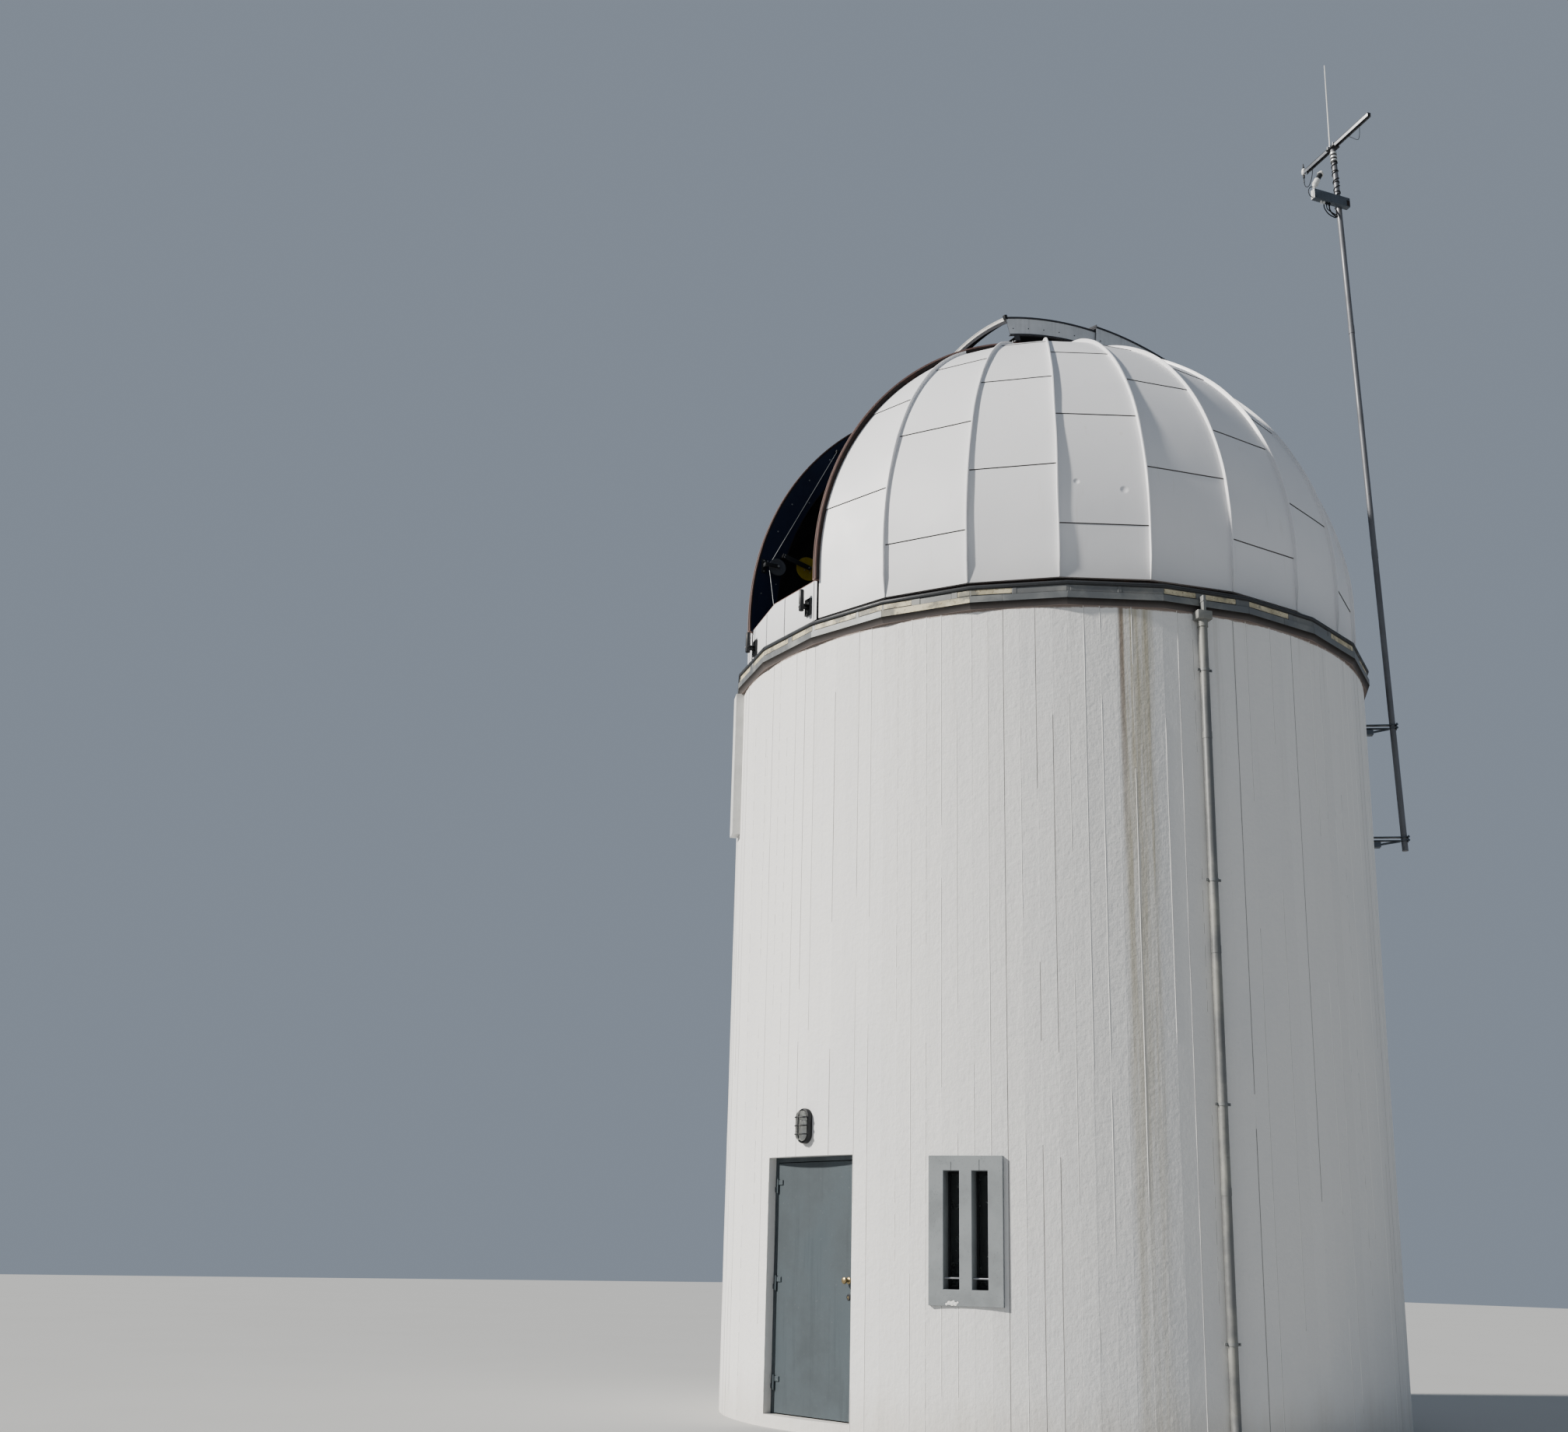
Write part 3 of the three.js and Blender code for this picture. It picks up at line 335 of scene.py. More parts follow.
def galvanised():
    """Zinc-coated steel with its spangle and dull patches."""
    color = (0.5, 0.51, 0.53)
    s = Shader("galvanised", color, 0.42, 0.85)
    grains = s.grains(70.0)
    s.wash(grains, 0.35, shade_of(color, 0.62))
    dull = s.noise(4.0, 5.0, 0.6)
    s.patches(dull, 0.5, 0.7, 0.5, (0.34, 0.34, 0.34))
    s.bump(grains, 0.06, 0.001)
    s.rough(dull, 0.34, 0.6)
    return s.done()


def bare_concrete(name, color):
    """Fair-faced concrete: clouds, pores and a fine sandy grain."""
    s = Shader(name, color, 0.85)
    s.patches(s.noise(4.0, 6.0, 0.65), 0.38, 0.7, 0.5, shade_of(color, 0.66))
    s.patches(s.noise(1.3, 3.0), 0.5, 0.7, 0.4, shade_of(color, 1.25))
    pores = s.span(s.cells(48.0)["Distance"], 0.17, 0.05)
    s.wash(pores, 0.5, shade_of(color, 0.35))
    s.bump(s.noise(120.0, 4.0, 0.7), 0.3, 0.002)
    s.bump(s.times(pores, -1.0), 0.4, 0.004)
    return s.done()


def rusty_steel():
    """Dark brown primer with red rust along edges and in blotches."""
    s = Shader("rusty_steel", (0.03, 0.022, 0.02), 0.7)
    blotch = s.noise(5.0, 6.0, 0.7)
    s.patches(blotch, 0.5, 0.68, 0.6, (0.085, 0.045, 0.034))
    s.patches(s.noise(22.0, 4.0, 0.7), 0.6, 0.75, 0.6, (0.02, 0.018, 0.018))
    s.bump(blotch, 0.4, 0.003)
    s.rough(blotch, 0.6, 0.9)
    return s.done()


def soffit_painted_shade():
    """Dark brownish underside of the ring, in painted shade: near black on the slope, brownish grey
    underneath where it meets the wall.
    """
    s = Shader("soffit_painted_shade", (0.024, 0.021, 0.019), 0.8)
    z = s.xyz()["Z"]
    mottle = s.noise(9.0, 5.0, 0.65)
    s.patches(mottle, 0.5, 0.7, 0.5, (0.055, 0.045, 0.038))
    # Painted shade: near black at the outer edge, lightening towards the wall.
    s.patches(z, EAVES_LOW + 0.05, EAVES_LOW + 0.004, 0.75, (0.15, 0.135, 0.13))
    s.tint(s.span(z, EAVES_LOW + 0.004, EAVES_LOW + 0.001), (0.24, 0.2, 0.185))
    s.bump(mottle, 0.2, 0.002)
    s.rough(mottle, 0.7, 0.9)
    return s.done()


def glass_pane(name, color, roughness):
    s = Shader(name, color, roughness)
    s.bsdf.inputs["Transmission Weight"].default_value = 0.9
    s.bsdf.inputs["IOR"].default_value = 1.45
    dust = s.noise(12.0, 5.0, 0.6)
    s.patches(dust, 0.45, 0.7, 0.5, shade_of(color, 0.5))
    s.rough(dust, roughness, roughness + 0.25)
    s.bump(s.noise(3.0, 2.0), 0.05, 0.002)
    return s.done()


def brushed_brass():
    s = Shader("brass", (0.36, 0.29, 0.17), 0.38, 0.9)
    tarnish = s.noise(40.0, 4.0, 0.6)
    s.patches(tarnish, 0.45, 0.65, 0.6, (0.22, 0.16, 0.09))
    s.rough(tarnish, 0.28, 0.55)
    s.bump(s.noise(160.0), 0.1, 0.0005)
    return s.done()


# Materials. Worn paints: colour, roughness, colour of the worn specks, share of cloud, scale
WALL = wall_paint()
DOME = dome_paint()
# Seam material: painted shade and dirt in the grooves of the dome's lapped seams, and painted shadow beside
# the apron's laps.
SEAM = worn_paint("seam_shadow", (0.17, 0.165, 0.16), 0.8, (0.3, 0.2, 0.13), 0.3, 6.0)
LINING = worn_paint("dome_lining", (0.035, 0.038, 0.045), 0.75, (0.1, 0.07, 0.05), 0.3, 3.0)
ZINC_UP = zinc_sheet("zinc_upper", (0.22, 0.225, 0.225), (0.36, 0.36, 0.33))
ZINC_LOW = zinc_sheet("zinc_lower", (0.21, 0.22, 0.225), (0.34, 0.345, 0.33))
BEAD = worn_paint("bead_dark", (0.062, 0.068, 0.075), 0.42, (0.25, 0.25, 0.24), 0.5, 5.0)
CREAM = cream_coat()
SOFFIT_SHADE = soffit_painted_shade()
# Pale white: painted highlight on the sunward left side of fins and rough joints, and the pale chips on the
# window plate.
CHIPS_AND_FIN_HIGHLIGHT = worn_paint("chips_and_fin_highlight", (0.88, 0.875, 0.85), 0.7, (0.6, 0.58, 0.55), 0.15, 4.0, run=0.1)
# Grey: painted shade on the right side of fins and rough joints, and the colour of open joints.
JOINT = worn_paint("joint_shadow", (0.44, 0.43, 0.42), 0.85, (0.6, 0.6, 0.6), 0.4, 6.0)
RUST = rusty_steel()
RIM = worn_paint("rim_primer", (0.25, 0.165, 0.145), 0.7, (0.07, 0.045, 0.035), 0.4, 7.0)
NAVY = worn_paint("navy_paint", (0.012, 0.02, 0.055), 0.5, (0.09, 0.06, 0.05), 0.3, 4.0)
SHUTTER = worn_paint("shutter_paint", (0.58, 0.6, 0.62), 0.5, (0.28, 0.24, 0.2), 0.35, 3.0)
SHUTTER_IN = worn_paint("shutter_inside", (0.05, 0.052, 0.06), 0.7, (0.12, 0.09, 0.07), 0.3, 4.0)
LIP = worn_paint("lip_paint", (0.76, 0.75, 0.72), 0.6, (0.14, 0.09, 0.06), 0.2, 3.0)
# Door paint: its large clouds are partly wear and partly painted shade of leaf shadows.
DOOR = worn_paint("door_paint", (0.092, 0.112, 0.124), 0.42, (0.2, 0.21, 0.22), 0.6, 2.2)
STEEL = galvanised()
POLE = worn_paint("pole_steel", (0.2, 0.205, 0.22), 0.5, (0.12, 0.07, 0.05), 0.5, 2.0, metallic=0.35)
DARK = worn_paint("dark_metal", (0.028, 0.03, 0.033), 0.5, (0.12, 0.11, 0.1), 0.3, 12.0)
PLATE = bare_concrete("plate_concrete", (0.3, 0.32, 0.33))
SLAB = bare_concrete("slab_concrete", (0.34, 0.33, 0.31))
PLASTIC = worn_paint("white_plastic", (0.72, 0.72, 0.7), 0.5, (0.4, 0.38, 0.34), 0.25, 6.0)
YELLOW = worn_paint("yellow_paint", (0.36, 0.28, 0.035), 0.5, (0.16, 0.11, 0.03), 0.4, 9.0)
BRASS = brushed_brass()
WINDOW_GLASS = glass_pane("window_glass", (0.3, 0.34, 0.36), 0.06)
LAMP_GLASS = glass_pane("lamp_glass", (0.8, 0.81, 0.78), 0.22)
SHEAVE = worn_paint("sheave_grey", (0.15, 0.16, 0.18), 0.5, (0.3, 0.3, 0.3), 0.4, 14.0, metallic=0.3)
WIRE = worn_paint("cable_wire", (0.26, 0.27, 0.28), 0.5, (0.1, 0.1, 0.1), 0.3, 20.0, metallic=0.4)
CASE = worn_paint("instrument_case", (0.1, 0.12, 0.145), 0.5, (0.3, 0.3, 0.3), 0.3, 8.0)
TAPE = worn_paint("silver_tape", (0.62, 0.63, 0.62), 0.3, (0.2, 0.2, 0.2), 0.3, 12.0, metallic=0.5)
RUBBER = worn_paint("cable_rubber", (0.018, 0.018, 0.02), 0.6, (0.08, 0.08, 0.08), 0.3, 30.0)


# Mesh helpers
class Piece:
    """Collects solids in one mesh. They are placed by the piece's matrix, or by one that the call gives."""

    def __init__(self, *materials, at=Matrix()):
        self.bm = bmesh.new()
        self.materials = materials
        self.at = at

    def take(self, made, material, matrix):
        for face in {f for v in made for f in v.link_faces}:
            face.material_index = material
        bmesh.ops.transform(self.bm, matrix=self.at if matrix is None else matrix, verts=list(made))

    def soften(self, made, edges, width):
        """Bevels edges and returns the points that are there afterwards."""
        out = bmesh.ops.bevel(
            self.bm, geom=list(edges), offset=width, segments=2, profile=0.5, affect="EDGES",
        )
        return {v for f in out["faces"] for v in f.verts} | {v for v in made if v.is_valid}

    def box(self, low, high, bevel=0.0, material=0, matrix=None):
        made = bmesh.ops.create_cube(self.bm, size=1.0)["verts"]
        low, high = Vector(low), Vector(high)
        size = high - low
        for v in made:
            v.co = Vector(((v.co[i] + 0.5) * size[i] + low[i]) for i in range(3))
        if bevel:
            made = self.soften(made, {e for v in made for e in v.link_edges}, bevel)
        self.take(made, material, matrix)

    def rod(self, start, end, radius, sides=16, material=0, radius_to=None, bevel=0.0, matrix=None):
        start, end = Vector(start), Vector(end)
        along = end - start
        made = bmesh.ops.create_cone(
            self.bm, cap_ends=True, segments=sides, radius1=radius,
            radius2=radius if radius_to is None else radius_to, depth=along.length,
        )["verts"]
        place = Matrix.Translation((start + end) / 2) @ along.to_track_quat("Z", "Y").to_matrix().to_4x4()
        bmesh.ops.transform(self.bm, matrix=place, verts=made)
        if bevel:
            caps = {f for v in made for f in v.link_faces if len(f.verts) == sides}
            made = self.soften(made, {e for f in caps for e in f.edges}, bevel)
        self.take(made, material, matrix)

    def ball(self, centre, radius, squash, detail):
        made = bmesh.ops.create_uvsphere(
            self.bm, u_segments=detail, v_segments=detail // 2 + 1, radius=radius,
        )["verts"]
        for v in made:
            v.co = Vector((v.co[i] * squash[i]) for i in range(3)) + Vector(centre)
        self.take(made, 0, None)

    def rings(self, sections, material=0, loop=False, matrix=None):
        """Joins rings of points, each with as many points as the next, into a closed solid."""
        rows = [[self.bm.verts.new(p) for p in section] for section in sections]
        count = len(rows[0])
        for a, b in zip(rows, rows[1:] + rows[:1] if loop else rows[1:]):
            for i in range(count):
                j = (i + 1) % count
                self.bm.faces.new((a[i], a[j], b[j], b[i]))
        if not loop:
            self.bm.faces.new(rows[0][::-1])
            self.bm.faces.new(rows[-1])
        self.take([v for row in rows for v in row], material, matrix)

    def tube(self, points, radius, sides=8, material=0, matrix=None):
        """A round tube along points."""
        points = [Vector(p) for p in points]
        last = len(points) - 1
        sections = []
        normal = None
        for i, p in enumerate(points):
            tangent = (points[min(i + 1, last)] - points[max(i - 1, 0)]).normalized()
            if normal is None:
                normal = tangent.orthogonal().normalized()
            normal = (normal - tangent * normal.dot(tangent)).normalized()
            side = tangent.cross(normal)
            sections.append([p + (normal * math.cos(a) + side * math.sin(a)) * radius for a in around(sides)])
        self.rings(sections, material, matrix=matrix)

    def lathe(self, profile, sides, material=0, matrix=None):
        """A closed profile of radius and height, turned about Z. It starts and ends on the axis."""
        rows = []
        for r, z in profile:
            spots = [(r * math.cos(a), r * math.sin(a), z) for a in around(sides)] if r else [(0, 0, z)]
            rows.append([self.bm.verts.new(p) for p in spots])
        for a, b in zip(rows, rows[1:]):
            for i in range(sides):
                j = (i + 1) % sides
                if len(a) == 1:
                    corners = (a[0], b[j], b[i])
                elif len(b) == 1:
                    corners = (a[i], a[j], b[0])
                else:
                    corners = (a[i], a[j], b[j], b[i])
                self.bm.faces.new(corners)
        self.take([v for row in rows for v in row], material, matrix)

    def cut(self, point, normal):
        """Keeps what lies on the side that the normal points to, and closes the cut."""
        geometry = list(self.bm.verts) + list(self.bm.edges) + list(self.bm.faces)
        out = bmesh.ops.bisect_plane(
            self.bm, geom=geometry, plane_co=point, plane_no=normal, clear_inner=True, dist=1e-6,
        )
        edges = [g for g in out["geom_cut"] if isinstance(g, bmesh.types.BMEdge)]
        if edges:
            bmesh.ops.holes_fill(self.bm, edges=edges, sides=0)

    def cut_to_slit(self):
        """Keeps what lies between the girders."""
        for side in (1, -1):
            self.cut((-side * GIRDER_FACE, 0, 0), (-side, 0, 0))

    def finish(self, name, body, replaces="", matrix=Matrix(), angle=30):
        self.bm.transform(matrix)
        bmesh.ops.recalc_face_normals(self.bm, faces=list(self.bm.faces))
        mesh = bpy.data.meshes.new(name)
        self.bm.to_mesh(mesh)
        self.bm.free()
        for material in self.materials:
            mesh.materials.append(material)
        if angle:
            mesh.shade_smooth()
            mesh.set_sharp_from_angle(angle=math.radians(angle))
        else:
            mesh.shade_flat()
        obj = bpy.data.objects.new(name, mesh)
        bpy.context.scene.collection.objects.link(obj)
        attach(obj, body)
        if replaces:
            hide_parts(replaces)


def dress(node, material, bevel=0.0):
    """Gives a frame node its finish, and softens its edges."""
    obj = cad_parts[node]
    obj.data.materials.clear()
    obj.data.materials.append(material)
    weld = obj.modifiers.new("weld", "WELD")
    weld.merge_threshold = 0.00005
    if bevel:
        soft = obj.modifiers.new("edges", "BEVEL")
        soft.width = bevel
        soft.segments = 2
        soft.limit_method = "ANGLE"
        soft.angle_limit = math.radians(28)


# Tower wall: the frame's solids with fins and open joints between the boards
JOINT_HALF = 0.07
JOINT_RISE = {"fin": 0.0024, "rough": 0.0022, "open": -0.004, "": 0.0}
MARK_STEP = 0.09


def joint_kind(number, z):
    """How the joint to the left of a board shows at a height."""
    kind = random.Random(number * 17 + 3).random()
    patch = noise.noise(Vector((number * 3.7, 1.0, z * 0.55)))
    patch -= max(0.0, 3.4 - z) * 0.12
    if kind < 0.4:
        return "fin" if patch > -0.3 else ""
    if kind < 0.68:
        return "rough" if patch > -0.2 and math.sin(z * 41 + number) > -0.4 else ""
    return "open" if kind < 0.79 and patch > -0.3 else ""


def board_marks(node, low, high):
    """Copies a wall node, cuts its outer skin at the boards' edges and at steps of height, and moves it."""
    bm = bmesh.new()
    bm.from_mesh(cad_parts[node].data)
    bmesh.ops.remove_doubles(bm, verts=list(bm.verts), dist=0.00005)
    skin_in = WALL_R * math.cos(math.radians(BOARD_ANGLE / 2)) - 0.0005

    def skin():
        return [f for f in bm.faces if all(math.hypot(v.co.x, v.co.y) > skin_in for v in f.verts)]

    def bisect(faces, point, normal):
        parts = {v for f in faces for v in f.verts} | {e for f in faces for e in f.edges} | set(faces)
        bmesh.ops.bisect_plane(bm, geom=list(parts), plane_co=point, plane_no=normal, dist=1e-6)

    for number in range(math.floor(low / BOARD_ANGLE) - 1, math.ceil(high / BOARD_ANGLE) + 2):
        for off in (-JOINT_HALF, 0.0, JOINT_HALF):
            ahead = polar(1.0, number * BOARD_ANGLE + off)
            near = [f for f in skin() if f.calc_center_median().dot(ahead) > 0]
            bisect(near, (0, 0, 0), (-ahead.y, ahead.x, 0.0))
    for step in range(1, int(WALL_TOP / MARK_STEP) + 1):
        bisect(skin(), (0, 0, step * MARK_STEP), (0, 0, 1))
    outer = skin()
    for v in {v for f in outer for v in f.verts}:
        radius = math.hypot(v.co.x, v.co.y)
        azimuth = math.degrees(math.atan2(v.co.x, -v.co.y))
        place = azimuth / BOARD_ANGLE
        number = round(place)
        out = noise.noise(Vector((azimuth * 0.12, 0.0, v.co.z * 0.5))) * 0.0008
        if abs(place - number) < 0.004:
            uneven = 0.7 + 0.6 * noise.noise(Vector((number * 5.1, v.co.z * 2.3, 0.0)))
            out += JOINT_RISE[joint_kind(number, v.co.z)] * uneven
        else:
            out += random.Random(math.floor(place) * 31).uniform(-0.0005, 0.0005)
        v.co.x *= 1 + out / radius
        v.co.y *= 1 + out / radius
    for face in outer:
        middle = face.calc_center_median()
        place = math.degrees(math.atan2(middle.x, -middle.y)) / BOARD_ANGLE
        number = round(place)
        if abs(place - number) * BOARD_ANGLE > JOINT_HALF:
            continue
        kind = joint_kind(number, middle.z)
        # Joints: the left side takes the painted highlight and the right side the painted shade; open joints
        # take the grey on both sides.
        if kind:
            face.material_index = 1 if kind != "open" and place < number else 2
    return bm


def wall_pieces():
    step = (360 - WINDOW_AZ) / 8
    spans = {"wall_pier": (0, WINDOW_AZ), "wall_under_door": (-11, 11), "wall_over_door": (-11, 11)}
    spans["wall_under_window"] = spans["wall_over_window"] = (WINDOW_AZ - 7, WINDOW_AZ + 7)
    for i in range(8):
        spans[f"wall_{i + 1}"] = (WINDOW_AZ + i * step, WINDOW_AZ + (i + 1) * step)
    for node, (low, high) in spans.items():
        piece = Piece(WALL, CHIPS_AND_FIN_HIGHLIGHT, JOINT)
        piece.bm.free()
        piece.bm = board_marks(node, low, high)
        piece.finish(node.replace("wall", "boarded_wall"), "tower", node, angle=0)


# Dome gores
def gore_rows(gore):
    """Rows from foot to top: elevation or None, height or None, outward offset, 1 in the groove of a seam."""
    lap, groove = 0.005, 0.15
    first = GORE_ANGLE * 0.75 if gore % 2 else 0.0
    seams = [first + GORE_ANGLE * 1.5 * i for i in range(4)]
    breaks = sorted({0.0, 90.0, *seams})
    rows = [(None, z, 0.0, 0) for z in (DOME_Z, DOME_Z + 0.02, DOME_Z + 0.16, DOME_Z + 0.32, CENTRE_Z - 0.04)]
    for low, high in zip(breaks, breaks[1:]):
        count = max(2, round((high - low) / 1.5))
        lapped = low in seams
        if lapped:
            rows += [(low - groove, None, 0.0, 0), (low - groove * 0.9, None, -0.004, 1)]
            rows += [(low, None, -0.004, 1), (low + 0.02, None, lap, 0)]
        for i in range(1 if lapped else 0, count if high in seams else count + 1):
            share = i / count
            rows.append((low + (high - low) * share, None, lap * (1 - share) if lapped else 0.0, 0))
    return rows


def gore_point(e, z, azimuth, grow=0.0):
    """A point on the dome at an elevation, or at a height z below the springing where e is None."""
    if e is None:
        return polar(DOME_R + grow, azimuth, z)
    a = math.radians(e)
    return polar((DOME_R + grow) * math.cos(a), azimuth, CENTRE_Z + (DOME_R + grow) * math.sin(a))


def gore_sheet(piece, gore, side):
    """One flat-bent gore with its lapped sheets, on the slit's right (side 1) or left (side -1)."""
    bm = piece.bm
    columns = 14
    low, high = gore * GORE_ANGLE, (gore + 1) * GORE_ANGLE
    middle = (low + high) / 2
    rows = gore_rows(gore)
    outer, inner = [], []
    for e, z, offset, _ in rows:
        a, b = gore_point(e, z, low), gore_point(e, z, high)
        c, d = gore_point(e, z, low, -SHEET), gore_point(e, z, high, -SHEET)
        lean = (gore_point(e, z, middle, 1.0) - gore_point(e, z, middle)).normalized()
        outer.append([])
        inner.append([])
        for k in range(columns + 1):
            t = k / columns
            p = a.lerp(b, t)
            edge = min(1.0, 6 * min(t, 1 - t))
            wave = noise.noise(Vector((p.x * 1.7 + side * 9, p.y * 1.7, p.z * 1.7))) * 0.0025 * edge
            outer[-1].append(bm.verts.new(p + lean * (offset + wave)))
            inner[-1].append(bm.verts.new(c.lerp(d, t)))

    def face(material, *corners):
        bm.faces.new(corners).material_index = material

    for i, (a, b, c, d) in enumerate(zip(outer, outer[1:], inner, inner[1:])):
        for k in range(columns):
            face(rows[i][3] or rows[i + 1][3], a[k], a[k + 1], b[k + 1], b[k])
            face(2, c[k], d[k], d[k + 1], c[k + 1])
        for k in (0, columns):
            face(2, a[k], b[k], d[k], c[k])
    for a, c in ((outer[0], inner[0]), (outer[-1], inner[-1])):
        for k in range(columns):
            face(0, a[k], a[k + 1], c[k + 1], c[k])


def standing_seam(piece, azimuth, seed):
    """A folded rib at one azimuth, slightly crooked, running out at its foot."""
    steps = [(None, DOME_Z + up) for up in (0.004, 0.05, 0.12, 0.2)]
    steps += [(None, CENTRE_Z - 0.2), (None, CENTRE_Z - 0.08)]
    steps += [(1.5 * i, None) for i in range(60)]
    outline = [(-0.45, -0.012), (-0.4, 0.1), (-0.32, 0.62), (-0.46, 0.68), (-0.46, 0.94), (-0.3, 1.0)]
    outline += [(-across, up) for across, up in reversed(outline)]
    side = polar(1.0, azimuth + 90)
    sections = []
    for e, z in steps:
        a = math.radians(e or 0)
        run = z if e is None else CENTRE_Z + DOME_R * a
        base, out = gore_point(e, z, azimuth), polar(math.cos(a), azimuth, math.sin(a))
        foot = min(1.0, 0.15 + (run - DOME_Z) / 0.22)
        tall = 0.035 * foot * (1 + 0.2 * noise.noise(Vector((run * 2.3, seed, 0))))
        wide = 0.015 * (1 + 0.2 * noise.noise(Vector((run * 1.9, seed, 5)))) * (0.6 + 0.4 * foot)
        sway = 0.007 * noise.noise(Vector((run * 1.6, seed, 9)))
        sections.append([
            base + side * (across * wide + sway) + out * (up if up < 0 else up * tall)
            for across, up in outline
        ])
    piece.rings(sections)


def dome_panels():
    for i in range(5):
        for name, side in SIDES:
            piece = Piece(DOME, SEAM, LINING)
            for gore in (1 + 2 * i, 2 + 2 * i):
                gore_sheet(piece, gore, side)
                if gore > 1:
                    standing_seam(piece, gore * GORE_ANGLE, gore + side * 0.37)
            piece.cut((GIRDER_X + GAP, 0, 0), (1, 0, 0))
            place = DOME_TURN if side > 0 else DOME_TURN @ MIRROR
            tail = f"{name}_{i + 1}"
            piece.finish(f"gore_sheets_{tail}", "dome", f"dome_panel_{tail}", place)


def rear_strip():
    piece = Piece(DOME, SEAM, LINING)
    for gore in range(7, 12):
        gore_sheet(piece, gore, 1)
        standing_seam(piece, gore * GORE_ANGLE, gore + 0.37)
    half = list(piece.bm.verts) + list(piece.bm.edges) + list(piece.bm.faces)
    copy = bmesh.ops.duplicate(piece.bm, geom=half)["geom"]
    copied = [g for g in copy if isinstance(g, bmesh.types.BMVert)]
    bmesh.ops.transform(piece.bm, matrix=MIRROR, verts=copied)
    standing_seam(piece, 180.0, 4.2)
    piece.cut_to_slit()
    piece.cut((0, -DOME_R * math.cos(math.radians(SLIT_END)), 0), (0, 1, 0))
    piece.finish("rear_strip_sheets", "dome", "dome_rear_strip", DOME_TURN)


def apron():
    """The sill panel under the slit: flat sheets with upright folded laps and a rusty top edge."""
    piece = Piece(DOME, SEAM, LINING, RIM)

    def on_flat(azimuth, grow, z, aside=0.0):
        corner = 0.0 if azimuth > 0 else -GORE_ANGLE
        a, b = polar(DOME_R, corner), polar(DOME_R, corner + GORE_ANGLE)
        ahead, edge = polar(1.0, azimuth), b - a
        t = (a.x * ahead.y - a.y * ahead.x) / (edge.y * ahead.x - edge.x * ahead.y)
        p = a + edge * t + edge.normalized() * aside + polar(1.0, corner + GORE_ANGLE / 2) * grow
        return Vector((p.x, p.y, z))

    for out, inside, low, high, material in (
        (0.0, -0.004, DOME_Z, APRON_TOP - 0.006, 0),
        (-0.004, -SHEET, DOME_Z + 0.003, APRON_TOP - 0.004, 2),
        (0.0015, -0.012, APRON_TOP - 0.006, APRON_TOP, 3),
    ):
        corners = ((out, low), (out, high), (inside, high), (inside, low))
        bends = (-GORE_ANGLE, -0.001, 0.001, GORE_ANGLE)
        piece.rings([[on_flat(a, grow, z) for grow, z in corners] for a in bends], material)
    heights = ((DOME_Z + 0.004, 0.3), (DOME_Z + 0.05, 1), (APRON_TOP - 0.03, 1), (APRON_TOP - 0.008, 0.3))
    for azimuth in APRON_SEAMS:
        # The second, thin strip to the right of each lap is the painted shadow of the lap.
        for low, high, tall, material in ((-0.007, 0.004, 0.007, 0), (0.004, 0.0065, 0.0008, 1)):
            rows = []
            for z, foot in heights:
                lap = ((0.0, low), (tall * foot, low + 0.002), (tall * foot, high - 0.001), (0.0, high))
                rows.append([on_flat(azimuth, grow, z, aside) for grow, aside in lap])
            piece.rings(rows, material)
    piece.cut_to_slit()
    piece.finish("apron_sheets", "dome", "slit_apron", DOME_TURN)


def stop(name, side):
    """A stop for the shutter: a plate with two raised borders, and a post on a bracket before it."""
    face = -DOME_R * math.cos(HALF_GORE) - GAP
    post = -0.085
    piece = Piece(DARK, STEEL, at=DOME_TURN @ turn(side * GORE_ANGLE / 2) @ shift(side * 0.23, face, 0))
    piece.box((-0.045, -0.008, 7.09), (0.045, 0.0, 7.25), 0.002)
    borders = ((0.045, 7.09, 7.25, 0.01, 0.022), (0.029, 7.106, 7.234, 0.006, 0.015))
    for half, low, high, wide, out in borders:
        for x in (-half, half - wide):
            piece.box((x, -out, low), (x + wide, -0.004, high), 0.001)
        for z in (low, high - wide):
            piece.box((-half + wide, -out, z), (half - wide, -0.004, z + wide), 0.001)
    for low, high in ((7.15, 7.158), (7.182, 7.19)):
        piece.box((-0.018, post, low), (0.018, -0.007, high), 0.001)
    piece.box((-0.004, post, 7.158), (0.004, -0.007, 7.182))
    piece.rod((0, post, 7.12), (0, post, 7.322), 0.024, 20, bevel=0.004)
    piece.ball((0, post, 7.32), 0.0225, (1, 1, 0.45), 16)
    piece.rod((-side * 0.02, post, 7.17), (-side * 0.052, post, 7.17), 0.014, 4, radius_to=0.003)
    piece.rod((0, -0.113, 7.17), (0, -0.107, 7.17), 0.01, 6, 1)
    piece.finish(f"stop_{name}", "dome", f"shutter_stop_{name}")


# Slit girders
def in_slit(x, radius, elevation):
    a = math.radians(elevation)
    return Vector((x, -radius * math.cos(a), CENTRE_Z + radius * math.sin(a)))


def in_plane(elevation):
    """Places a solid drawn with its radius along -Y at an elevation in the slit."""
    return shift(0, 0, CENTRE_Z) @ Matrix.Rotation(math.radians(-elevation), 4, "X")


